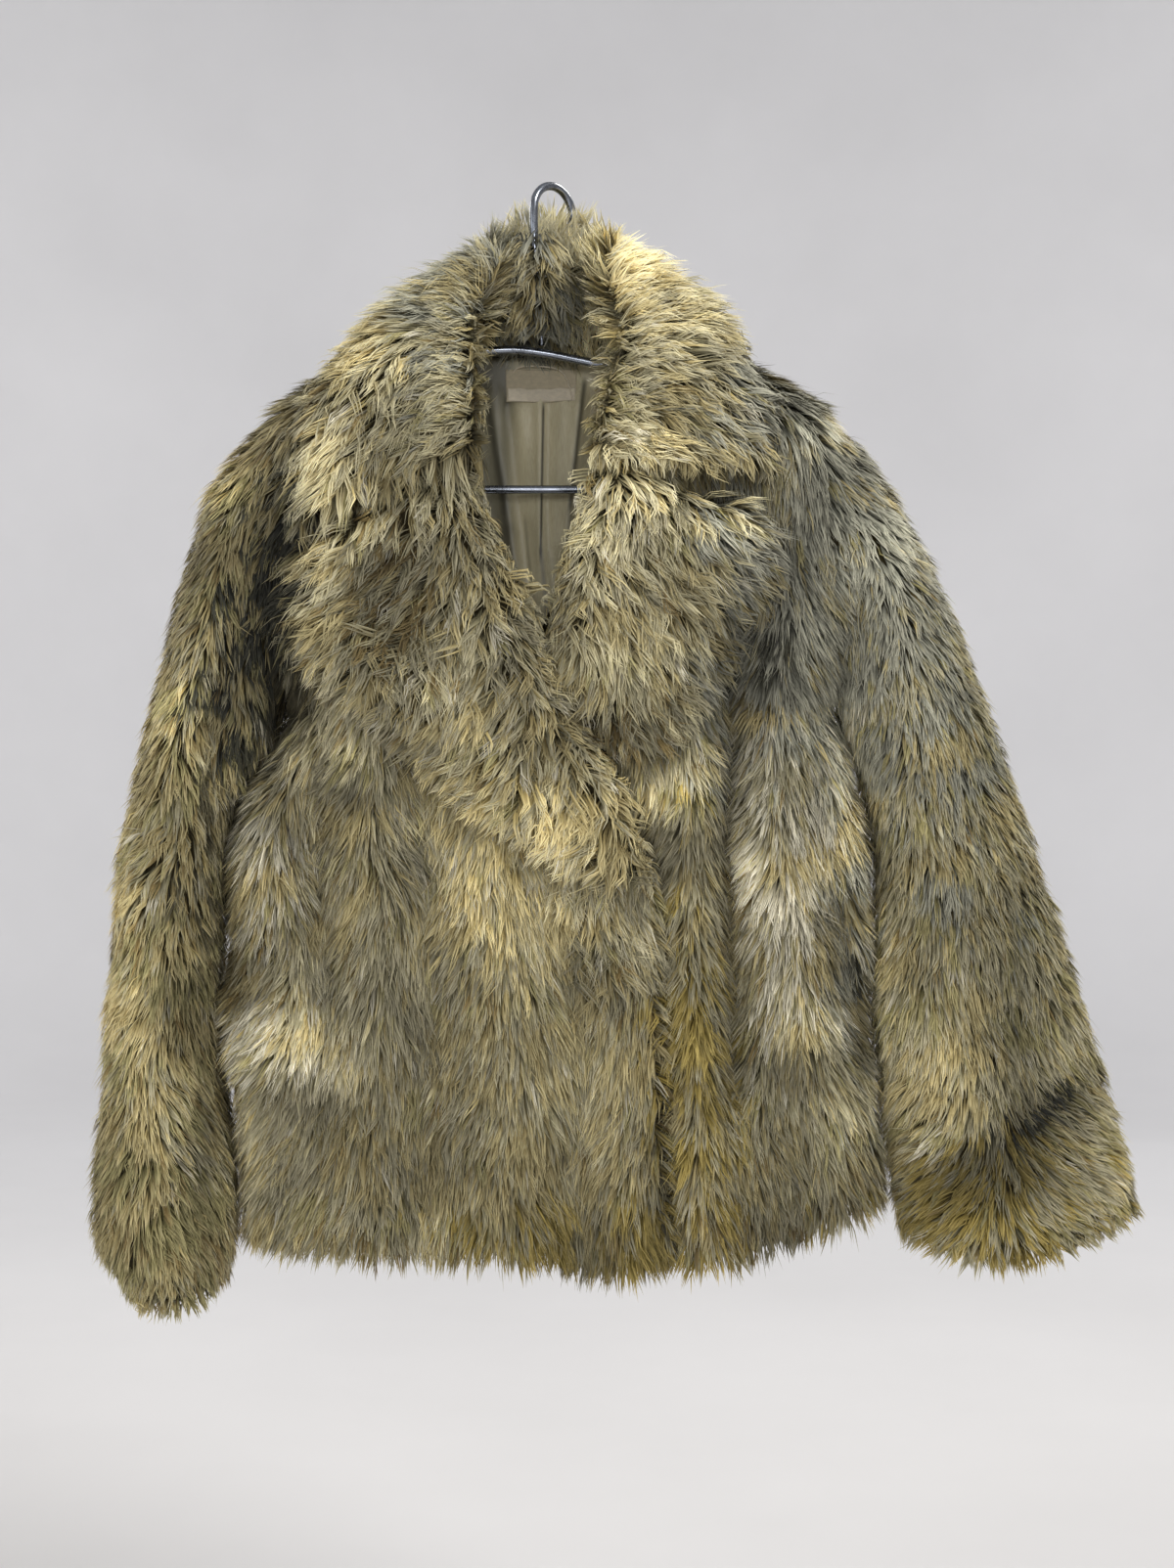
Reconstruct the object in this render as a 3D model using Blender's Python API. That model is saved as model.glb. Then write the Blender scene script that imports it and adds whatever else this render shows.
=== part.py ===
"""Short faux fur coat with a notched collar, hanging on a wire hanger.

Frame: +X to the viewer's right, -Y is the front, +Z up.  The origin is the
inside top of the hanger's hook, where a rail or peg carries it.
All tables are in millimetres; every mesh is written in metres.
"""
import math

import bmesh
import bpy
import numpy as np
from mathutils import Vector
from mathutils.bvhtree import BVHTree

# ---------------------------------------------------------------- sizes (mm)
MM = 0.001
WALL = 11.0          # fur fabric: woven backing and the dense part of the pile
HALF_SEAM = 0.16     # half of the gap left at every seam
LINING = 1.2         # satin lining
LAY_GAP = 2.0        # clearance under a piece that lies on another
WIRE_D = 5.5         # hanger wire
Y_SEAM = 2.0         # depth of the side and shoulder seams
SIDE_POWER = 3.5     # how square the body's section is
SHOULDER_R = 38.0    # rounding over the shoulder seam
NECK_L, NECK_R = -85.0, 80.0     # neck points, where shoulder meets neckline
Z_NECK = -104.0
HEM_REF = -760.0
UNDERLAP = WALL + 4.0            # the right front lies this far behind the left

COLS_FRONT, COLS_NECK = 9, 6
ROWS_UP, ROWS_ALL = 8, 17        # rows 0-8 shoulder to underarm, 8-17 to the hem
RINGS = 11                       # sleeve rings below the armhole


def pchip(xs, ys):
    """Monotone cubic through (xs, ys), xs rising; flat outside the ends."""
    xs = np.asarray(xs, float)
    ys = np.asarray(ys, float)
    h = np.diff(xs)
    d = np.diff(ys) / h
    m = np.zeros_like(ys)
    m[0], m[-1] = d[0], d[-1]
    for i in range(1, len(xs) - 1):
        if d[i - 1] * d[i] > 0:
            w1, w2 = 2 * h[i] + h[i - 1], h[i] + 2 * h[i - 1]
            m[i] = (w1 + w2) / (w1 / d[i - 1] + w2 / d[i])

    def f(x):
        x = np.clip(np.asarray(x, float), xs[0], xs[-1])
        i = np.clip(np.searchsorted(xs, x) - 1, 0, len(h) - 1)
        t = (x - xs[i]) / h[i]
        a = (1 + 2 * t) * (1 - t) ** 2
        b = t * (1 - t) ** 2
        c = t * t * (3 - 2 * t)
        e = t * t * (t - 1)
        return a * ys[i] + b * h[i] * m[i] + c * ys[i + 1] + e * h[i] * m[i + 1]
    return f


def column(table, key, value):
    """One named column of a table as a smooth function of another column."""
    names = table[0]
    a, b = names.index(key), names.index(value)
    rows = sorted(table[1:], key=lambda r: r[a])
    return pchip([r[a] for r in rows], [r[b] for r in rows])


def smoothstep(t):
    t = np.clip(t, 0.0, 1.0)
    return t * t * (3 - 2 * t)


# -------------------------------------------------------------- body sections
# side: where the section would turn from front to back; arm: the armhole line.
BODY = [
    ("z",  "side_l", "side_r", "arm_l", "arm_r", "front", "back"),
    (-150,  -240,     245,      -190,    187,     -54,     44),
    (-240,  -238,     245,      -186,    193,     -59,     46),
    (-300,  -232,     240,      -185,    196,     -60,     47),
    (-330,  -222,     230,      -186,    198,     -60,     47),
    (-360,  -204,     215,      -188,    201,     -60,     47),
    (-378,  -190,     203,      -190,    203,     -59,     47),
    (-410,  -197,     209,      -197,    209,     -58,     48),
    (-445,  -219,     217,      -219,    217,     -58,     48),
    (-480,  -229,     225,      -229,    225,     -58,     49),
    (-560,  -233,     227,      -233,    227,     -58,     50),
    (-610,  -236,     224,      -236,    224,     -59,     50),
    (-655,  -228,     228,      -228,    228,     -60,     50),
    (-720,  -223,     236,      -223,    236,     -62,     51),
    (-775,  -220,     237,      -220,    237,     -64,     52),
]
SHOULDER = [
    ("x",  "z"),
    (-240, -190),
    (-190, -154),
    (-130, -124),
    (-85,  -104),
    (0,    -90),
    (80,   -104),
    (130,  -127),
    (187,  -156),
    (245,  -198),
]
HEM = [
    ("x",  "z"),
    (-240, -754),
    (-215, -756),
    (-110, -760),
    (0,    -762),
    (55,   -769),
    (80,   -766),
    (125,  -763),
    (156,  -754),
    (198,  -741),
    (240,  -727),
]
# Inner edge of each front: neckline, roll line of the lapel, then front edge.
EDGE = [
    ("z",  "left", "right"),
    (-104, -85,     80),
    (-120, -66,     60),
    (-150, -52,     42),
    (-190, -54,     33),
    (-215, -54,     29),
    (-240, -51,     22),
    (-263, -41,     14),
    (-300, -23,      3),
    (-326, -11,     -8),
    (-350,  -3,    -16),
    (-373,   9,    -22),
    (-400,  23,    -28),
    (-421,  37,    -31),
    (-459,  54,    -34),
    (-490,  63,    -35),
    (-520,  69,    -35),
    (-580,  72,    -35),
    (-666,  75,    -35),
    (-780,  78,    -35),
]
# Height of each row at the neck side, and how much of the shoulder's slope it takes.
ROW = [
    ("r", "z",    "slope"),
    (0,  -104,     1.00),
    (1,  -120,     0.85),
    (2,  -150,     0.74),
    (3,  -190,     0.66),
    (4,  -236,     0.60),
    (5,  -285,     0.48),
    (6,  -330,     0.30),
    (7,  -364,     0.12),
    (8,  -378,     0.00),
    (9,  -412,     0.00),
    (10, -448,     0.00),
    (11, -486,     0.00),
    (12, -527,     0.00),
    (13, -572,     0.00),
    (14, -619,     0.00),
    (15, -668,     0.00),
    (16, -716,     0.00),
    (17, -760,     0.00),
]
# Ridges (+) and troughs (-) of the cloth, each along a line from top to bottom.
FOLDS_FRONT = [
    ("name",          "x0", "z0", "x1", "z1", "half", "rise"),
    ("edge_roll",       52, -520,   54, -765,   24,    5),
    ("beside_edge",     18, -560,   26, -750,   16,   -4),
    ("placket",        101, -400,  100, -760,   17,    9),
    ("long_valley",    124, -345,  127, -640,   13,  -13),
    ("chest_ridge",    170, -330,  160, -480,   22,    9),
    ("hip_ridge",      160, -480,  186, -620,   20,    8),
    ("pocket_right",   200, -520,  216, -615,   12,  -11),
    ("side_right",     215, -640,  206, -735,   20,    5),
    ("ridge_left",    -133, -390, -121, -590,   24,    8),
    ("valley_left",   -166, -430, -164, -560,   16,   -8),
    ("ridge_arm",     -203, -440, -206, -550,   18,    6),
    ("pocket_left",   -200, -552, -214, -604,   14,   -9),
    ("bulge_left",    -215, -640, -150, -630,   26,    6),
    ("valley_mid",     -92, -440,  -84, -600,   14,   -4),
    ("ridge_mid",      -40, -520,  -30, -730,   26,    4),
    ("low_left",       -95, -640, -100, -750,   18,   -3),
]
FOLDS_BACK = [
    ("name",          "x0", "z0", "x1", "z1", "half", "rise"),
    ("blade_left",    -110, -240, -128, -520,   26,    4),
    ("centre_back",      6, -180,    0, -740,   16,   -5),
    ("blade_right",    118, -250,  136, -560,   26,    5),
    ("drop_left",     -160, -420, -150, -740,   18,   -6),
    ("drop_right",     170, -440,  160, -730,   18,   -6),
    ("waist_left",     -60, -500,  -72, -750,   20,    4),
    ("waist_right",     70, -520,   84, -745,   20,    4),
]
# Sleeve rings: underarm side (in) and outer side (out) seen from the front,
# depth of the middle, half depth, and how far the ring's middle sags.
SLEEVE_LEFT = [
    ("ring", "x_in", "z_in", "x_out", "z_out", "y_mid", "y_half", "sag"),
    (1,      -196,   -387,   -224,    -187,     0,       52,      0),
    (2,      -201,   -397,   -248,    -223,    -2,       55,      0),
    (3,      -206,   -409,   -261,    -268,    -4,       57,      0),
    (4,      -217,   -428,   -278,    -332,    -5,       58,      0),
    (5,      -232,   -454,   -295,    -402,    -6,       58,      0),
    (6,      -242,   -500,   -309,    -473,    -6,       57,      0),
    (7,      -246,   -560,   -319,    -546,    -6,       57,      0),
    (8,      -248,   -628,   -323,    -628,    -7,       58,      0),
    (9,      -239,   -694,   -329,    -698,    -8,       60,      0),
    (10,     -235,   -756,   -332,    -757,    -9,       60,      2),
    (11,     -240,   -800,   -313,    -802,    -9,       56,      8),
]
SLEEVE_RIGHT = [
    ("ring", "x_in", "z_in", "x_out", "z_out", "y_mid", "y_half", "sag"),
    (1,       208,   -387,    219,    -188,     0,       52,      0),
    (2,       214,   -397,    244,    -223,    -2,       54,      0),
    (3,       220,   -410,    265,    -262,    -3,       55,      0),
    (4,       227,   -432,    290,    -316,    -4,       55,      0),
    (5,       234,   -464,    313,    -377,    -4,       54,      0),
    (6,       240,   -505,    334,    -441,    -4,       53,      0),
    (7,       239,   -556,    355,    -503,    -4,       52,      0),
    (8,       238,   -608,    375,    -564,    -5,       50,      0),
    (9,       243,   -663,    393,    -628,    -5,       48,      4),
    (10,      251,   -716,    411,    -692,    -6,       46,     12),
    (11,      258,   -757,    427,    -744,    -6,       44,     22),
]
FOLDS_SLEEVE = [
    ("name",          "x0", "z0", "x1", "z1", "half", "rise"),
    ("head_left",     -232, -230, -262, -420,   15,    3),
    ("dent_left",     -222, -300, -250, -420,   13,   -6),
    ("elbow_left",    -262, -520, -322, -560,   15,   -4),
    ("low_left",      -285, -600, -270, -760,   20,    4),
    ("head_right",     236, -260,  268, -430,   18,    4),
    ("elbow_right",    262, -540,  350, -500,   16,   -3),
    ("cuff_dent",      296, -712,  368, -650,   16,  -12),
    ("cuff_roll",      300, -750,  400, -722,   20,    5),
]
# Lapels: roll line, outer edge, and the height of roll, hollow and leaf.
LAPEL_LEFT = [
    ("t",  "roll_x", "roll_z", "edge_x", "edge_z", "roll_h", "dip_h", "leaf_h"),
    (0.00,  -55,      -212,     -178,     -268,     13,       14,      13),
    (0.10,  -50,      -237,     -183,     -289,     16,       14,      15),
    (0.22,  -40,      -263,     -184,     -316,     18,       12,      17),
    (0.36,  -22,      -300,     -172,     -342,     20,       11,      17),
    (0.50,   -2,      -348,     -146,     -364,     21,       12,      16),
    (0.62,   17,      -386,     -112,     -390,     20,       14,      15),
    (0.74,   38,      -421,      -68,     -432,     19,       15,      14),
    (0.86,   54,      -456,      -16,     -468,     16,       13,      12),
    (0.95,   62,      -484,       24,     -490,     12,       11,      10),
    (1.00,   66,      -503,       52,     -504,      8,        8,       7),
]
LAPEL_RIGHT = [
    ("t",  "roll_x", "roll_z", "edge_x", "edge_z", "roll_h", "dip_h", "leaf_h"),
    (0.00,   30,      -212,      112,     -236,     13,       14,      12),
    (0.12,   24,      -234,      143,     -246,     16,       16,      14),
    (0.26,   15,      -261,      152,     -272,     18,       18,      16),
    (0.42,    5,      -297,      142,     -304,     19,       19,      16),
    (0.58,    0,      -327,      121,     -330,     19,       19,      15),
    (0.72,    6,      -352,      108,     -356,     18,       17,      14),
    (0.86,   23,      -382,       93,     -383,     15,       14,      12),
    (1.00,   44,      -407,       66,     -403,      9,        9,       8),
]
# Collar stations from the left gorge round the back to the right gorge:
# seam (inner foot), roll (top of the fold) and edge (outer edge of the fall).
COLLAR = [
    ("s",  "seam_x", "seam_y", "seam_z", "roll_x", "roll_y", "roll_z",
     "edge_x", "edge_y", "edge_z"),
    (0.0,   -58,  -66, -203,   -54,  -80, -198,   -176,  -64, -251),
    (1.0,   -57,  -62, -165,   -53,  -78, -163,   -179,  -52, -203),
    (2.0,   -60,  -54, -124,   -53,  -67, -125,   -168,  -28, -150),
    (3.0,   -68,  -18, -103,   -56,  -36,  -75,   -155,   12, -115),
    (4.0,   -66,   12, -102,   -55,    2,  -43,   -131,   54, -112),
    (5.0,   -42,   26, -114,   -38,   28,  -28,    -83,   80, -132),
    (6.0,    -4,   27, -118,    -3,   36,  -22,     -4,   86, -146),
    (7.0,    36,   26, -114,    34,   30,  -25,     79,   80, -130),
    (8.0,    62,   12, -102,    53,    4,  -39,    121,   54, -108),
    (9.0,    64,  -18, -103,    52,  -34,  -73,    141,   12, -105),
    (10.0,   54,  -54, -124,    46,  -66, -127,    141,  -26, -138),
    (11.0,   44,  -60, -163,    37,  -76, -165,    152,  -48, -176),
    (12.0,   34,  -64, -201,    30,  -78, -200,    151,  -60, -205),
]

side_l = column(BODY, "z", "side_l")
side_r = column(BODY, "z", "side_r")
arm_l = column(BODY, "z", "arm_l")
arm_r = column(BODY, "z", "arm_r")
body_front = column(BODY, "z", "front")
body_back = column(BODY, "z", "back")
shoulder_z = column(SHOULDER, "x", "z")
hem_z = column(HEM, "x", "z")
edge_left = column(EDGE, "z", "left")
edge_right = column(EDGE, "z", "right")
row_base = column(ROW, "r", "z")
row_slope = column(ROW, "r", "slope")


def fold_rise(table, x, z):
    """Sum of the table's soft ridges and troughs at (x, z)."""
    total = np.zeros(np.broadcast(x, z).shape)
    for _name, x0, z0, x1, z1, half, rise in table[1:]:
        dx, dz = x1 - x0, z1 - z0
        length = math.hypot(dx, dz)
        ux, uz = dx / length, dz / length
        along = (x - x0) * ux + (z - z0) * uz
        across = (x - x0) * uz - (z - z0) * ux
        over = np.maximum(np.maximum(-along, along - length), 0.0)
        total = total + rise * np.exp(-(across / half) ** 2 - (over / (1.6 * half)) ** 2)
    return total


def section(x, z):
    """0 to 1 fullness of the body's section: 0 on the side and shoulder seams."""
    left, right = side_l(z), side_r(z)
    mid, halfw = (left + right) / 2, (right - left) / 2
    xn = np.clip(np.abs(x - mid) / halfw, 0, 1)
    across = (1 - xn ** SIDE_POWER) ** (1 / SIDE_POWER)
    drop = np.clip((shoulder_z(x) - z) / SHOULDER_R, 0, 1)
    return across * np.sqrt(1 - (1 - drop) ** 2)


def front_y(x, z):
    full = section(x, z)
    return Y_SEAM + (body_front(z) - Y_SEAM) * full - fold_rise(FOLDS_FRONT, x, z) * full


def back_y(x, z):
    full = section(x, z)
    return Y_SEAM + (body_back(z) - Y_SEAM) * full + fold_rise(FOLDS_BACK, x, z) * full


def row_height(x, r):
    """Height of row r at x: it follows the shoulder at the top, the hem below."""
    beyond = np.where(x < 0, np.minimum(x, NECK_L), np.maximum(x, NECK_R))
    z = row_base(r) + (shoulder_z(beyond) - Z_NECK) * row_slope(r)
    return z + (hem_z(x) - HEM_REF) * smoothstep((r - 10.5) / 6.5)


def ease(c):
    """Columns crowd towards the side."""
    return 1 - (1 - c) ** 1.45


def outer_x(r, left):
    """Armhole line above the underarm, side seam below it."""
    line = arm_l if left else arm_r
    x = np.full(np.shape(r), -190.0 if left else 190.0)
    for _ in range(40):
        x = 0.5 * x + 0.5 * line(row_height(x, r))
    return x


def inner_x(r, left):
    line = edge_left if left else edge_right
    x = np.full(np.shape(r), -60.0 if left else 60.0)
    for _ in range(40):
        x = 0.5 * x + 0.5 * line(row_height(x, r))
    return np.where(r == 0, NECK_L if left else NECK_R, x)


def on_seams(pts, r, at_end):
    """Side and shoulder seams lie exactly in the plane y = Y_SEAM."""
    beyond = (pts[..., 0] <= NECK_L + 0.01) | (pts[..., 0] >= NECK_R - 0.01)
    seam = (at_end & (r >= ROWS_UP)) | (beyond & (r == 0))
    pts[..., 1] = np.where(seam, Y_SEAM, pts[..., 1])
    return pts


def front_left_grid(rs, cs):
    """Points [row, column, xyz] of the left front, from its edge to the side."""
    r, c = np.meshgrid(rs, cs, indexing="ij")
    x0, x1 = inner_x(r, True), outer_x(r, True)
    x = x0 + (x1 - x0) * ease(c)
    z = row_height(x, r)
    return on_seams(np.stack([x, front_y(x, z), z], -1), r, c >= 1)


def under_left(x, z):
    """How far the right front lies behind the left one at (x, z)."""
    lap = edge_left(z)
    return UNDERLAP * (1 - smoothstep((x - lap - 4) / 24)) * smoothstep((-300 - z) / 25)


def front_right_grid(rs, cs):
    r, c = np.meshgrid(rs, cs, indexing="ij")
    x0, x1 = inner_x(r, False), outer_x(r, False)
    plain = x0 + (x1 - x0) * ease(c)
    lap = edge_left(row_height(0 * x0, r))
    m1 = np.maximum(lap + 4, x0 + 0.18 * (x1 - x0))
    m2 = np.maximum(lap + 28, m1 + 0.12 * (x1 - x0))
    lapped = np.where(c < 2 / 9, x0 + (m1 - x0) * c * 4.5,
                      np.where(c < 3 / 9, m1 + (m2 - m1) * (c * 9 - 2),
                               m2 + (x1 - m2) * ease(np.clip(c * 1.5 - 0.5, 0, 1))))
    x = plain + (lapped - plain) * smoothstep(r / 5)
    z = row_height(x, r)
    return on_seams(np.stack([x, front_y(x, z) + under_left(x, z), z], -1), r, c >= 1)


def back_grid(rs, cols_side, cols_neck):
    """The back from the left side to the right, with the neckline between."""
    c_side = np.linspace(0, 1, cols_side + 1)
    c_neck = np.linspace(0, 1, cols_neck + 1)[1:-1]
    rows = []
    for r in rs:
        r1 = np.array(r, float)
        narrow = 12 * smoothstep(r / 8)
        xl0, xr0 = NECK_L + narrow, NECK_R - narrow
        left = xl0 + (outer_x(r1, True) - xl0) * ease(c_side)
        right = xr0 + (outer_x(r1, False) - xr0) * ease(c_side)
        rows.append(np.concatenate([left[::-1], xl0 + (xr0 - xl0) * c_neck, right]))
    x = np.array(rows)
    r = np.array(rs, float)[:, None] + 0 * x
    z = row_height(x, r)
    mid, half = (NECK_L + NECK_R) / 2, (NECK_R - NECK_L) / 2
    scoop = np.sqrt(np.clip(1 - ((x - mid) / half) ** 2, 0, 1))
    z = z - 17 * scoop * (1 - smoothstep(r / 4.5))
    ends = np.zeros(x.shape, bool)
    ends[:, [0, -1]] = True
    return on_seams(np.stack([x, back_y(x, z), z], -1), r, ends)


def sleeve_grid(table, armhole, rings, turn):
    """Rings of a sleeve; ring 0 is the armhole loop of the body.

    turn: angles round the ring, 0 at the shoulder tip, pi at the underarm,
    rising over the front of the sleeve.
    """
    read = {k: column(table, "ring", k) for k in table[0][1:]}
    out = [armhole]
    for k in rings:
        if k == 0:
            continue
        kk = max(k, 1.0)
        a_in = np.array([read["x_in"](kk), 0, read["z_in"](kk)])
        a_out = np.array([read["x_out"](kk), 0, read["z_out"](kk)])
        mid, arm = (a_in + a_out) / 2, (a_out - a_in) / 2
        p = 2 / 2.4
        cs = np.sign(np.cos(turn)) * np.abs(np.cos(turn)) ** p
        sn = np.sign(np.sin(turn)) * np.abs(np.sin(turn)) ** p
        pts = mid + arm * cs[:, None]
        pts[:, 1] = read["y_mid"](kk) - read["y_half"](kk) * sn
        pts[:, 2] -= read["sag"](kk) * (1 - cs ** 2)
        pts[:, 1] -= fold_rise(FOLDS_SLEEVE, pts[:, 0], pts[:, 2]) * sn
        if k < 1:
            pts = armhole + (pts - armhole) * k
        out.append(pts)
    return np.array(out)


# ----------------------------------------------------------- shared offsetting
def grid_normals(grids):
    """Smooth outward normals, shared where grids share a point.

    grids: list of (points, wraps, flip).
    """
    acc = {}
    for pts, wraps, flip in grids:
        n, m = pts.shape[:2]
        for i in range(n - 1):
            for j in range(m if wraps else m - 1):
                a, b = pts[i, j], pts[i + 1, j]
                c, d = pts[i + 1, (j + 1) % m], pts[i, (j + 1) % m]
                nor = np.cross(c - a, d - b) * (-1 if flip else 1)
                size = np.linalg.norm(nor)
                if size < 1e-9:
                    continue
                for p in (a, b, c, d):
                    key = tuple(np.round(p, 3))
                    acc[key] = acc.get(key, 0) + nor / size
    res = []
    for pts, _w, _f in grids:
        nor = np.zeros_like(pts)
        for i in range(pts.shape[0]):
            for j in range(pts.shape[1]):
                v = acc[tuple(np.round(pts[i, j], 3))]
                nor[i, j] = v / np.linalg.norm(v)
        res.append(nor)
    return res


# --------------------------------------------------------------- mesh building
def material(name, rgb, rough, metal=0.0):
    mat = bpy.data.materials.new(name)
    mat.use_nodes = True
    shader = mat.node_tree.nodes["Principled BSDF"]
    shader.inputs["Base Color"].default_value = (*rgb, 1)
    shader.inputs["Roughness"].default_value = rough
    shader.inputs["Metallic"].default_value = metal
    return mat


def add_object(name, verts, faces, mat):
    mesh = bpy.data.meshes.new(name)
    mesh.from_pydata([tuple(v * MM) for v in verts], [], faces)
    mesh.validate()
    obj = bpy.data.objects.new(name, mesh)
    bpy.context.scene.collection.objects.link(obj)
    bm = bmesh.new()
    bm.from_mesh(mesh)
    bmesh.ops.triangulate(bm, faces=bm.faces[:])
    bmesh.ops.recalc_face_normals(bm, faces=bm.faces)
    if bm.calc_volume(signed=True) < 0:
        bmesh.ops.reverse_faces(bm, faces=bm.faces)
    bm.to_mesh(mesh)
    bm.free()
    mesh.materials.append(mat)
    mesh.shade_smooth()
    mesh.set_sharp_from_angle(angle=math.radians(50))
    return obj


def rim(o0, o1, i0, i1, verts):
    """Two triangles across the wall, split the same way on both sides of a seam."""
    a, b = verts[o0], verts[o1]
    if (round(a[2], 2), round(a[0], 2), round(a[1], 2)) > \
            (round(b[2], 2), round(b[0], 2), round(b[1], 2)):
        return [(o0, o1, i1), (o0, i1, i0)]
    return [(o0, o1, i0), (o1, i1, i0)]


def shell(name, outer, inner, mat, wraps=False, ease_back=()):
    """Closed wall between two grids.

    ease_back: (index, direction) pairs that move an edge off its seam; the
    outer and inner edges move together, so the gap is even through the wall.
    """
    outer, inner = outer.copy(), inner.copy()
    for index, way in ease_back:
        for g in (outer, inner):
            g[index] += HALF_SEAM * np.array(way, float)
    n, m = outer.shape[:2]
    verts = np.concatenate([outer.reshape(-1, 3), inner.reshape(-1, 3)])
    half = n * m

    def vid(i, j):
        return i * m + (j % m)
    faces = []
    for i in range(n - 1):
        for j in range(m if wraps else m - 1):
            q = (vid(i, j), vid(i + 1, j), vid(i + 1, j + 1), vid(i, j + 1))
            faces.append(q)
            faces.append(tuple(half + v for v in q[::-1]))
    for j in range(m if wraps else m - 1):
        for i in (0, n - 1):
            o0, o1 = vid(i, j), vid(i, j + 1)
            faces += rim(o0, o1, half + o0, half + o1, verts)
    if not wraps:
        for i in range(n - 1):
            for j in (0, m - 1):
                o0, o1 = vid(i, j), vid(i + 1, j)
                faces += rim(o0, o1, half + o0, half + o1, verts)
    return add_object(name, verts, faces, mat)


def tree_of(objects):
    """Ray and distance tests against finished pieces, in millimetres."""
    verts, polys = [], []
    for obj in objects:
        base = len(verts)
        verts += [Vector(v.co) / MM for v in obj.data.vertices]
        polys += [tuple(base + i for i in p.vertices) for p in obj.data.polygons]
    return BVHTree.FromPolygons(verts, polys)


def tube(name, points, diameter, mat, sides=8, bend=14.0):
    """A round wire along a smooth curve through the points."""
    pts = [np.array(p, float) for p in points]
    fine = []
    for i in range(len(pts) - 1):
        p0 = pts[max(i - 1, 0)]
        p1, p2 = pts[i], pts[i + 1]
        p3 = pts[min(i + 2, len(pts) - 1)]
        steps = max(1, int(round(np.linalg.norm(p2 - p1) / bend)))
        if len(pts) == 2:
            steps = 1
        for k in range(steps):
            t = k / steps
            fine.append(0.5 * ((2 * p1) + (p2 - p0) * t + (2 * p0 - 5 * p1 + 4 * p2 - p3) * t * t
                               + (3 * p1 - p0 - 3 * p2 + p3) * t ** 3))
    fine.append(pts[-1])
    fine = np.array(fine)
    tang = np.gradient(fine, axis=0)
    tang /= np.linalg.norm(tang, axis=1, keepdims=True)
    ref = np.array([0.0, 1.0, 0.0])
    verts, faces = [], []
    for i, p in enumerate(fine):
        side = np.cross(tang[i], ref)
        side /= np.linalg.norm(side)
        ref = np.cross(side, tang[i])
        for k in range(sides):
            a = 2 * math.pi * k / sides
            verts.append(p + diameter / 2 * (math.cos(a) * side + math.sin(a) * ref))
    n = len(fine)
    for i in range(n - 1):
        for k in range(sides):
            faces.append((i * sides + k, (i + 1) * sides + k,
                          (i + 1) * sides + (k + 1) % sides, i * sides + (k + 1) % sides))
    faces.append(tuple(range(sides)))
    faces.append(tuple((n - 1) * sides + k for k in range(sides))[::-1])
    return add_object(name, verts, faces, mat)


# ------------------------------------------------------------------ the pieces
def face_y(tree, x, z, way, reach=9.0, start=300.0):
    """Outermost depth of the cloth round (x, z), met from the front (way -1)
    or from the back (way 1)."""
    best = None
    for dx, dz in ((0, 0), (reach, 0), (-reach, 0), (0, reach), (0, -reach)):
        hit = tree.ray_cast(Vector((x + dx, way * start, z + dz)), Vector((0, -way, 0)))
        if hit[0] is not None and (best is None or way * hit[0].y > way * best):
            best = hit[0].y
    return best if best is not None else 0.0


def lapel(name, table, tree, mat, rows, cols, rest):
    """A lapel lies on its front: its underside is read from the front's face."""
    read = {k: column(table, "t", k) for k in table[0][1:]}
    upper = np.zeros((rows + 1, cols + 1, 3))
    under = np.zeros_like(upper)
    for i in range(rows + 1):
        t = i / rows
        a = np.array([read["roll_x"](t), read["roll_z"](t)])
        b = np.array([read["edge_x"](t), read["edge_z"](t)])
        for j in range(cols + 1):
            s = j / cols
            x, z = a + (b - a) * s
            y = face_y(tree, x, z, -1)
            y = min(y, float(front_y(x, z)) + rest)
            high = float(pchip([0, 0.16, 0.45, 0.75, 1.0],
                               [7.5, read["roll_h"](t), read["dip_h"](t),
                                read["leaf_h"](t), 6.5])(s))
            under[i, j] = (x, y - LAY_GAP, z)
            upper[i, j] = (x, y - LAY_GAP - high, z)
    return shell(name, upper, under, mat)


def collar_path(st, count):
    """Outer face of the collar at one station: seam, over the roll, to the edge."""
    read = {k: column(COLLAR, "s", k) for k in COLLAR[0][1:]}
    seam = np.array([read["seam_" + k](st) for k in "xyz"])
    roll = np.array([read["roll_" + k](st) for k in "xyz"])
    edge = np.array([read["edge_" + k](st) for k in "xyz"])
    over = edge - seam
    over[2] *= 0.35
    over /= np.linalg.norm(over)
    up = np.cross(np.cross(over, roll - 0.5 * (seam + edge)), over)
    up /= np.linalg.norm(up)
    stand, fall = np.linalg.norm(roll - seam), np.linalg.norm(edge - roll)

    def hermite(p, q, m0, m1, t):
        t = t[:, None]
        return ((1 + 2 * t) * (1 - t) ** 2 * p + t * (1 - t) ** 2 * m0
                + t * t * (3 - 2 * t) * q + t * t * (t - 1) * m1)
    n1 = max(2, count // 3)
    t1 = np.linspace(0, 1, n1 + 1)[:-1]
    t2 = np.linspace(0, 1, count - n1 + 1)
    a = hermite(seam, roll, up * stand * 0.8, over * min(stand, 40) * 0.7, t1)
    b = hermite(roll, edge, over * (fall * 0.75), (edge - roll) * 0.55 - up * fall * 0.55, t2)
    return np.concatenate([a, b])


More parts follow.
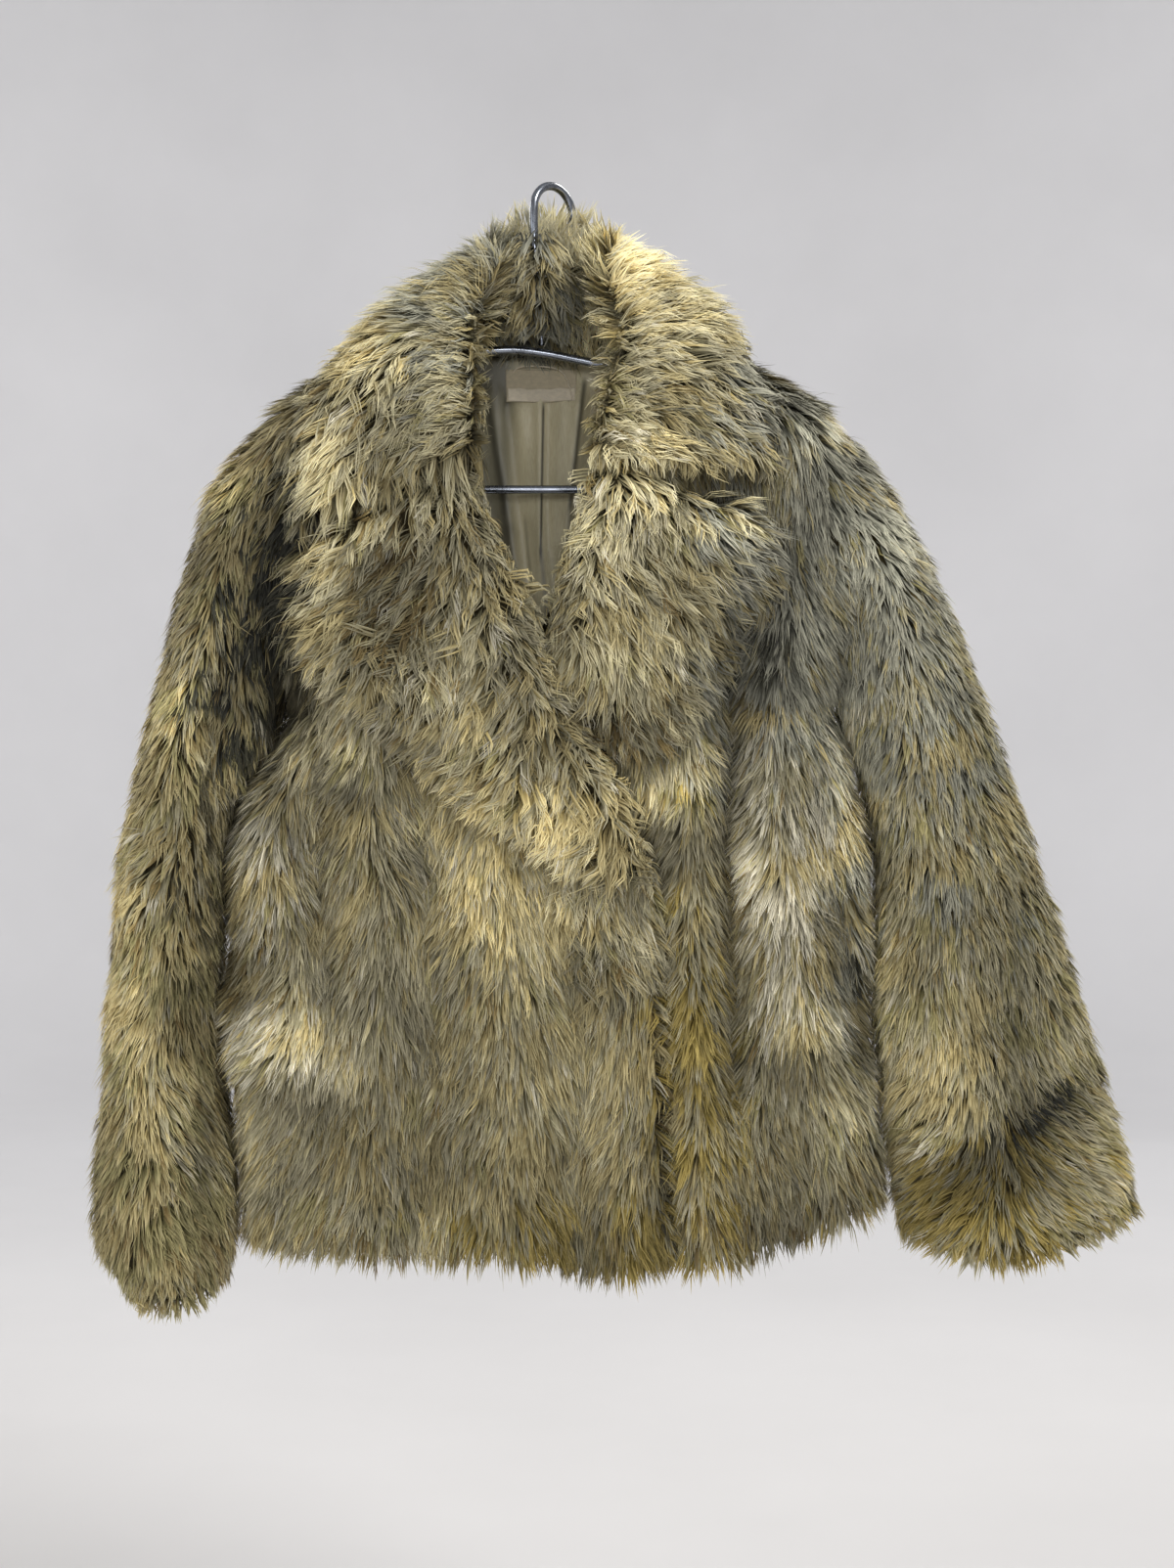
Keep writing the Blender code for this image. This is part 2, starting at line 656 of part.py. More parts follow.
def build():
    for obj in list(bpy.data.objects):
        bpy.data.objects.remove(obj, do_unlink=True)

    fur = material("fur", (0.42, 0.36, 0.19), 0.85)
    fur_dark = material("fur_collar", (0.46, 0.40, 0.22), 0.85)
    satin = material("lining_satin", (0.30, 0.26, 0.16), 0.45)
    tape = material("label_tape", (0.50, 0.42, 0.28), 0.7)
    steel = material("hanger_steel", (0.25, 0.26, 0.28), 0.25, 1.0)

    rs = np.arange(ROWS_ALL + 1, dtype=float)
    cs = np.linspace(0, 1, COLS_FRONT + 1)
    f_left = front_left_grid(rs, cs)
    f_right = front_right_grid(rs, cs)
    back = back_grid(rs, COLS_FRONT, COLS_NECK)

    # the armhole loops: down the front, up the back
    up = ROWS_UP
    loop_l = np.concatenate([f_left[:up + 1, -1], back[up - 1:0:-1, 0]])
    loop_r = np.concatenate([f_right[:up + 1, -1], back[up - 1:0:-1, -1]])
    turn = np.arange(2 * up) * math.pi / up
    rings = np.arange(RINGS + 1)
    s_left = sleeve_grid(SLEEVE_LEFT, loop_l, rings, turn)
    s_right = sleeve_grid(SLEEVE_RIGHT, loop_r, rings, turn)

    n_fl, n_fr, n_bk, n_sl, n_sr = grid_normals([
        (f_left, False, True), (f_right, False, False), (back, False, True),
        (s_left, True, False), (s_right, True, True)])

    # seams: shoulders and sides part along y, armholes along x
    arm, side = slice(0, up + 1), slice(up, None)
    shoulder_l, shoulder_r = slice(0, COLS_FRONT + 1), slice(-COLS_FRONT - 1, None)
    front_left = shell("front_left", f_left, f_left - WALL * n_fl, fur, ease_back=[
        ((0, slice(None)), (0, -1, 0)), ((side, -1), (0, -1, 0)), ((arm, -1), (1, 0, 0))])
    front_right = shell("front_right", f_right, f_right - WALL * n_fr, fur, ease_back=[
        ((0, slice(None)), (0, -1, 0)), ((side, -1), (0, -1, 0)), ((arm, -1), (-1, 0, 0))])
    back_panel = shell("back", back, back - WALL * n_bk, fur, ease_back=[
        ((0, shoulder_l), (0, 1, 0)), ((0, shoulder_r), (0, 1, 0)),
        ((side, 0), (0, 1, 0)), ((side, -1), (0, 1, 0)),
        ((arm, 0), (1, 0, 0)), ((arm, -1), (-1, 0, 0))])
    sleeve_left = shell("sleeve_left", s_left, s_left - WALL * n_sl, fur, wraps=True,
                        ease_back=[(0, (-1, 0, 0))])
    sleeve_right = shell("sleeve_right", s_right, s_right - WALL * n_sr, fur, wraps=True,
                         ease_back=[(0, (1, 0, 0))])

    torso = tree_of([front_left, front_right, back_panel, sleeve_left, sleeve_right])
    lapel("lapel_left", LAPEL_LEFT, torso, fur_dark, 12, 7, 2.0)
    lapel("lapel_right", LAPEL_RIGHT, torso, fur_dark, 9, 6, 2.0)

    # collar: one closed section after another round the neck
    count, under_n, stations = 10, 7, 24
    loops = []
    for i in range(stations + 1):
        st = 12.0 * i / stations
        path = collar_path(st, count)
        seam, edge = path[0], path[-1]
        lie = float(smoothstep((5.2 - abs(st - 6.0)) / 2.6))      # 0 front, 1 shoulder
        out = np.array([0.0, -(1 - lie), lie])
        out /= np.linalg.norm(out)
        t = np.linspace(1, 0, under_n + 2)[1:-1][:, None]
        low = seam + (edge - seam) * t
        ring = np.concatenate([path, low])
        for k in range(len(ring)):
            thick = 8.0 if count // 3 < k < len(path) - 1 else 0.0
            best = None
            for dx, dw in ((0, 0), (7, 0), (-7, 0), (0, 7), (0, -7), (14, 0), (-14, 0),
                           (9, 9), (-9, 9), (9, -9), (-9, -9)):
                off = np.array([dx, dw * out[2], dw * -out[1]])
                hit = torso.ray_cast(Vector(ring[k] + off + out * 250), Vector(-out))
                if hit[0] is None:
                    continue
                rise = float(np.dot(np.array(hit[0]) - ring[k], out))
                best = rise if best is None else max(best, rise)
            if best is not None and best + 1.8 * LAY_GAP + thick > 0:
                ring[k] = ring[k] + out * (best + 1.8 * LAY_GAP + thick)
        loops.append(ring)
    loops = np.array(loops)
    n, m = loops.shape[:2]
    verts = loops.reshape(-1, 3)
    faces = []
    for i in range(n - 1):
        for j in range(m):
            faces.append((i * m + j, (i + 1) * m + j, (i + 1) * m + (j + 1) % m,
                          i * m + (j + 1) % m))
    faces.append(tuple(range(m)))
    faces.append(tuple((n - 1) * m + j for j in range(m))[::-1])
    add_object("collar", verts, faces, fur_dark)

    # hanger
    hook_r = 20.0
    turn_h = math.radians(45)
    hook = [(-8.5, 3.5, -114.6), (-9.5, 0, -96), (-11.5, -7, -70), (-13.6, -13, -42)]
    for a in (180, 150, 120, 90, 60, 30, 0, -25):
        u = hook_r * math.cos(math.radians(a))
        v = hook_r * math.sin(math.radians(a))
        hook.append((u * math.cos(turn_h), u * math.sin(turn_h),
                     WIRE_D / 2 - hook_r + v))
    tube("hanger_hook", hook, WIRE_D, steel)
    tube("hanger_shoulders",
         [(-152, 2, -221), (-160, 2, -221), (-172, 2, -213), (-179, 2, -196), (-178, 2, -178), (-168, 2, -163),
          (-140, 2, -150), (-85, 2, -124.5), (-39, 3, -117.6), (-8, 3.5, -119.6),
          (32, 3, -127.5), (85, 2, -136), (140, 2, -153), (165, 2, -165), (174, 2, -180),
          (174, 2, -198), (167, 2, -213), (155, 2, -221), (147, 2, -221)], WIRE_D, steel)
    tube("hanger_bar", [(-151, 2, -221), (146, 2, -221)], WIRE_D, steel)

    # lining of the back, seen through the neck, with its centre pleat
    inside = tree_of([back_panel])
    zs = np.array([0, 0.06, 0.13, 0.21, 0.3, 0.4, 0.5, 0.6, 0.7, 0.8, 0.9, 1.0])
    xs = np.array([-168, -128, -92, -66, -44, -27, -16, -8, 0, 12, 26, 44, 64, 90, 126, 166.0])
    outer = np.zeros((len(zs), len(xs), 3))
    inner = np.zeros_like(outer)
    for i, t in enumerate(zs):
        for j, x in enumerate(xs):
            top = -124.0 if abs(x + 2) < 70 else -124.0 - (abs(x + 2) - 70) * 0.75
            z = top + (-735.0 - top) * t
            y = face_y(inside, x, z, -1, 12.0, 4.0)
            pleat = 5.0 * math.exp(-((x + 8) / 7.0) ** 2) + 3.0 * math.exp(-((x + 30) / 9.0) ** 2) \
                + 3.0 * math.exp(-((x - 20) / 9.0) ** 2)
            pleat *= smoothstep(0.15 + t * 6) * (1 - 0.5 * t)
            outer[i, j] = (x, y - 1.5, z)
            inner[i, j] = (x, y - 1.5 - LINING - pleat, z)
    lining = shell("lining_back", inner, outer, satin)

    # blank tape label on the lining
    face = tree_of([lining])
    rows = []
    for z in (-127.5, -140.0, -152.0):
        line = []
        for x in np.linspace(-36, 17, 8):
            hit = face.ray_cast(Vector((x, -20.0, z)), Vector((0, 1, 0)))
            y = hit[0].y if hit[0] is not None else 20.0
            line.append((x, y - 1.6, z))
        rows.append(line)
    front_face = np.array(rows)
    level = front_face[:, :, 1].min(axis=0, keepdims=True)
    front_face[:, :, 1] = 0.5 * level + 0.5 * level.min() - 0.2
    rear = front_face.copy()
    rear[:, :, 1] += 1.0
    shell("label", front_face, rear, tape)


build()
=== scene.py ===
"""Looks of a short faux fur coat with a notched collar on a wire hanger.

Lengths in the tables and in the shape functions are millimetres; meshes are
written in metres.  +X is the viewer's right, -Y the front, +Z up.
"""
import math

import bpy
import numpy as np
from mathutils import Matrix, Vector
from mathutils.bvhtree import BVHTree


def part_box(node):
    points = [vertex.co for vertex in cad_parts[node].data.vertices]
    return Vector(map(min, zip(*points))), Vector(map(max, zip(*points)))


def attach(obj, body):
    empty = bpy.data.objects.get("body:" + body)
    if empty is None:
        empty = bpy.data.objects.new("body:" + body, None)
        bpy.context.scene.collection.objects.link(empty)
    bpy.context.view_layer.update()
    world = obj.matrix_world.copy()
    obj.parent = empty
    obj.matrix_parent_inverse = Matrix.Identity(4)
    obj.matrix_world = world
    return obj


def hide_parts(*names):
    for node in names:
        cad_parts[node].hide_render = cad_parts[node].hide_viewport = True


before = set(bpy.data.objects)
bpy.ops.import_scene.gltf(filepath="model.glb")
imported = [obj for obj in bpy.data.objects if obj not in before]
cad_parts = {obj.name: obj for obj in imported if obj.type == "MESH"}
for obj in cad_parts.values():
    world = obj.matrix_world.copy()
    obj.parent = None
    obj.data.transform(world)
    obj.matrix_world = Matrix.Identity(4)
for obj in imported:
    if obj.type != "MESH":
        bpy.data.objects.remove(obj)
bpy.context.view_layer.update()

MM = 0.001
SUB = 3                 # steps for each row and column of the construction's grid
# ------------------------------------------------- the construction's own sizes
WALL = 11.0
WIRE_D = 5.5
WIRE_LOOK = 6.2
Y_SEAM = 2.0
SIDE_POWER = 3.5
SHOULDER_R = 38.0
NECK_L, NECK_R = -85.0, 80.0
Z_NECK = -104.0
HEM_REF = -760.0
UNDERLAP = WALL + 4.0
LAY_GAP = 2.0
COLS_FRONT, COLS_NECK = 9, 6
ROWS_UP, ROWS_ALL = 8, 17
RINGS = 11

BODY = [
    ("z",  "side_l", "side_r", "arm_l", "arm_r", "front", "back"),
    (-150,  -240,     245,      -190,    187,     -54,     44),
    (-240,  -238,     245,      -186,    193,     -59,     46),
    (-300,  -232,     240,      -185,    196,     -60,     47),
    (-330,  -222,     230,      -186,    198,     -60,     47),
    (-360,  -204,     215,      -188,    201,     -60,     47),
    (-378,  -190,     203,      -190,    203,     -59,     47),
    (-410,  -197,     209,      -197,    209,     -58,     48),
    (-445,  -219,     217,      -219,    217,     -58,     48),
    (-480,  -229,     225,      -229,    225,     -58,     49),
    (-560,  -233,     227,      -233,    227,     -58,     50),
    (-610,  -236,     224,      -236,    224,     -59,     50),
    (-655,  -228,     228,      -228,    228,     -60,     50),
    (-720,  -223,     236,      -223,    236,     -62,     51),
    (-775,  -220,     237,      -220,    237,     -64,     52),
]
SHOULDER = [
    ("x",  "z"),
    (-240, -190), (-190, -154), (-130, -124), (-85,  -104), (0,    -90),
    (80,   -104), (130,  -127), (187,  -156), (245,  -198),
]
HEM = [
    ("x",  "z"),
    (-240, -754), (-215, -756), (-110, -760), (0,    -762), (55,   -769),
    (80,   -766), (125,  -763), (156,  -754), (198,  -741), (240,  -727),
]
EDGE = [
    ("z",  "left", "right"),
    (-104, -85,     80),
    (-120, -66,     60),
    (-150, -52,     42),
    (-190, -54,     33),
    (-215, -54,     29),
    (-240, -51,     22),
    (-263, -41,     14),
    (-300, -23,      3),
    (-326, -11,     -8),
    (-350,  -3,    -16),
    (-373,   9,    -22),
    (-400,  23,    -28),
    (-421,  37,    -31),
    (-459,  54,    -34),
    (-490,  63,    -35),
    (-520,  69,    -35),
    (-580,  72,    -35),
    (-666,  75,    -35),
    (-780,  78,    -35),
]
ROW = [
    ("r", "z",    "slope"),
    (0,  -104,     1.00), (1,  -120,     0.85), (2,  -150,     0.74),
    (3,  -190,     0.66), (4,  -236,     0.60), (5,  -285,     0.48),
    (6,  -330,     0.30), (7,  -364,     0.12), (8,  -378,     0.00),
    (9,  -412,     0.00), (10, -448,     0.00), (11, -486,     0.00),
    (12, -527,     0.00), (13, -572,     0.00), (14, -619,     0.00),
    (15, -668,     0.00), (16, -716,     0.00), (17, -760,     0.00),
]
FOLDS_FRONT = [
    ("name",          "x0", "z0", "x1", "z1", "half", "rise"),
    ("edge_roll",       52, -520,   54, -765,   24,    5),
    ("beside_edge",     18, -560,   26, -750,   16,   -4),
    ("placket",        101, -400,  100, -760,   17,    9),
    ("long_valley",    124, -345,  127, -640,   13,  -13),
    ("chest_ridge",    170, -330,  160, -480,   22,    9),
    ("hip_ridge",      160, -480,  186, -620,   20,    8),
    ("pocket_right",   200, -520,  216, -615,   12,  -11),
    ("side_right",     215, -640,  206, -735,   20,    5),
    ("ridge_left",    -133, -390, -121, -590,   24,    8),
    ("valley_left",   -166, -430, -164, -560,   16,   -8),
    ("ridge_arm",     -203, -440, -206, -550,   18,    6),
    ("pocket_left",   -200, -552, -214, -604,   14,   -9),
    ("bulge_left",    -215, -640, -150, -630,   26,    6),
    ("valley_mid",     -92, -440,  -84, -600,   14,   -4),
    ("ridge_mid",      -40, -520,  -30, -730,   26,    4),
    ("low_left",       -95, -640, -100, -750,   18,   -3),
]
FOLDS_BACK = [
    ("name",          "x0", "z0", "x1", "z1", "half", "rise"),
    ("blade_left",    -110, -240, -128, -520,   26,    4),
    ("centre_back",      6, -180,    0, -740,   16,   -5),
    ("blade_right",    118, -250,  136, -560,   26,    5),
    ("drop_left",     -160, -420, -150, -740,   18,   -6),
    ("drop_right",     170, -440,  160, -730,   18,   -6),
    ("waist_left",     -60, -500,  -72, -750,   20,    4),
    ("waist_right",     70, -520,   84, -745,   20,    4),
]
SLEEVE_LEFT = [
    ("ring", "x_in", "z_in", "x_out", "z_out", "y_mid", "y_half", "sag"),
    (1,      -196,   -387,   -224,    -187,     0,       52,      0),
    (2,      -201,   -397,   -248,    -223,    -2,       55,      0),
    (3,      -206,   -409,   -261,    -268,    -4,       57,      0),
    (4,      -217,   -428,   -278,    -332,    -5,       58,      0),
    (5,      -232,   -454,   -295,    -402,    -6,       58,      0),
    (6,      -242,   -500,   -309,    -473,    -6,       57,      0),
    (7,      -246,   -560,   -319,    -546,    -6,       57,      0),
    (8,      -248,   -628,   -323,    -628,    -7,       58,      0),
    (9,      -239,   -694,   -329,    -698,    -8,       60,      0),
    (10,     -235,   -756,   -332,    -757,    -9,       60,      2),
    (11,     -240,   -800,   -313,    -802,    -9,       56,      8),
]
SLEEVE_RIGHT = [
    ("ring", "x_in", "z_in", "x_out", "z_out", "y_mid", "y_half", "sag"),
    (1,       208,   -387,    219,    -188,     0,       52,      0),
    (2,       214,   -397,    244,    -223,    -2,       54,      0),
    (3,       220,   -410,    265,    -262,    -3,       55,      0),
    (4,       227,   -432,    290,    -316,    -4,       55,      0),
    (5,       234,   -464,    313,    -377,    -4,       54,      0),
    (6,       240,   -505,    334,    -441,    -4,       53,      0),
    (7,       239,   -556,    355,    -503,    -4,       52,      0),
    (8,       238,   -608,    375,    -564,    -5,       50,      0),
    (9,       243,   -663,    393,    -628,    -5,       48,      4),
    (10,      251,   -716,    411,    -692,    -6,       46,     12),
    (11,      258,   -757,    427,    -744,    -6,       44,     22),
]
FOLDS_SLEEVE = [
    ("name",          "x0", "z0", "x1", "z1", "half", "rise"),
    ("head_left",     -232, -230, -262, -420,   15,    3),
    ("dent_left",     -222, -300, -250, -420,   13,   -6),
    ("elbow_left",    -262, -520, -322, -560,   15,   -4),
    ("low_left",      -285, -600, -270, -760,   20,    4),
    ("head_right",     236, -260,  268, -430,   18,    4),
    ("elbow_right",    262, -540,  350, -500,   16,   -3),
    ("cuff_dent",      296, -712,  368, -650,   16,  -12),
    ("cuff_roll",      300, -750,  400, -722,   20,    5),
]
LAPEL_LEFT = [
    ("t",  "roll_x", "roll_z", "edge_x", "edge_z", "roll_h", "dip_h", "leaf_h"),
    (0.00,  -55,      -212,     -178,     -268,     13,       14,      13),
    (0.10,  -50,      -237,     -183,     -289,     16,       14,      15),
    (0.22,  -40,      -263,     -184,     -316,     18,       12,      17),
    (0.36,  -22,      -300,     -172,     -342,     20,       11,      17),
    (0.50,   -2,      -348,     -146,     -364,     21,       12,      16),
    (0.62,   17,      -386,     -112,     -390,     20,       14,      15),
    (0.74,   38,      -421,      -68,     -432,     19,       15,      14),
    (0.86,   54,      -456,      -16,     -468,     16,       13,      12),
    (0.95,   62,      -484,       24,     -490,     12,       11,      10),
    (1.00,   66,      -503,       52,     -504,      8,        8,       7),
]
LAPEL_RIGHT = [
    ("t",  "roll_x", "roll_z", "edge_x", "edge_z", "roll_h", "dip_h", "leaf_h"),
    (0.00,   30,      -212,      112,     -236,     13,       14,      12),
    (0.12,   24,      -234,      143,     -246,     16,       16,      14),
    (0.26,   15,      -261,      152,     -272,     18,       18,      16),
    (0.42,    5,      -297,      142,     -304,     19,       19,      16),
    (0.58,    0,      -327,      121,     -330,     19,       19,      15),
    (0.72,    6,      -352,      108,     -356,     18,       17,      14),
    (0.86,   23,      -382,       93,     -383,     15,       14,      12),
    (1.00,   44,      -407,       66,     -403,      9,        9,       8),
]
COLLAR = [
    ("s",  "seam_x", "seam_y", "seam_z", "roll_x", "roll_y", "roll_z",
     "edge_x", "edge_y", "edge_z"),
    (0.0,   -58,  -66, -203,   -54,  -80, -198,   -176,  -64, -251),
    (1.0,   -57,  -62, -165,   -53,  -78, -163,   -179,  -52, -203),
    (2.0,   -60,  -54, -124,   -53,  -67, -125,   -168,  -28, -150),
    (3.0,   -68,  -18, -103,   -56,  -36,  -75,   -155,   12, -115),
    (4.0,   -66,   12, -102,   -55,    2,  -43,   -131,   54, -112),
    (5.0,   -42,   26, -114,   -38,   28,  -28,    -83,   80, -132),
    (6.0,    -4,   27, -118,    -3,   36,  -22,     -4,   86, -146),
    (7.0,    36,   26, -114,    34,   30,  -25,     79,   80, -130),
    (8.0,    62,   12, -102,    53,    4,  -39,    121,   54, -108),
    (9.0,    64,  -18, -103,    52,  -34,  -73,    141,   12, -105),
    (10.0,   54,  -54, -124,    46,  -66, -127,    141,  -26, -138),
    (11.0,   44,  -60, -163,    37,  -76, -165,    152,  -48, -176),
    (12.0,   34,  -64, -201,    30,  -78, -200,    151,  -60, -205),
]
# Creases of the lining, as soft ridges (+) towards the viewer and troughs (-).
FOLDS_LINING = [
    ("name",         "x0", "z0", "x1", "z1", "half", "rise"),
    ("pleat_lip",     -10, -150,   -9, -262,    4,    3.4),
    ("pleat_slot",     -5, -152,   -6, -262,  2.2,   -3.2),
    ("pleat_low",     -12, -250,   -4, -330,    5,    2.6),
    ("left_run",      -46, -140,  -22, -330,    7,    3.8),
    ("left_slot",     -36, -150,  -17, -330,    4,   -2.8),
    ("right_run",      20, -140,    6, -330,    6,    4.0),
    ("right_slot",     28, -150,   12, -330,  3.6,   -3.0),
    ("mid_soft",        8, -150,    1, -260,    6,    1.6),
    ("left_soft",     -24, -160,  -16, -240,    5,    1.4),
    ("low_cross",     -20, -236,   12, -268,    5,    1.2),
]
# Places where the pile lies otherwise than down: it fans sideways from a point,
# leans as a whole, or is tangled.
FANS = [
    ("name",          "x",  "z", "reach", "spread", "lean_x", "lean_z", "mess"),
    ("closure_top",    25, -508,   22,     0.7,      0.1,      0.0,      2.2),
    ("closure_mid",    33, -546,   18,     0.5,      0.3,      0.0,      2.5),
    ("closure_low",    37, -567,   15,     0.5,      0.0,      0.0,      2.0),
    ("cuff_fan",      318, -714,   58,     1.5,      0.0,      0.0,      0.0),
    ("cuff_outer",    386, -690,   44,     0.3,      0.6,      0.1,      0.3),
    ("bulge_left",   -214, -600,   36,     0.3,     -0.5,      0.0,      0.3),
    ("shoulder_r",    262, -262,   42,     0.3,      0.4,      0.1,      0.4),
    ("chest_gold",    -26, -452,   40,     0.7,      0.0,      0.0,      0.3),
    ("elbow_left",   -276, -470,   40,     0.3,     -0.4,      0.0,      0.6),
    ("pocket_right",  196, -560,   26,     0.2,     -0.5,      0.0,      0.0),
    ("frost_ridge",   150, -470,   60,     0.2,     -0.45,     0.0,      0.0),
    ("lapel_nest",    -98, -330,   26,     0.4,      0.0,      0.0,      1.3),
]
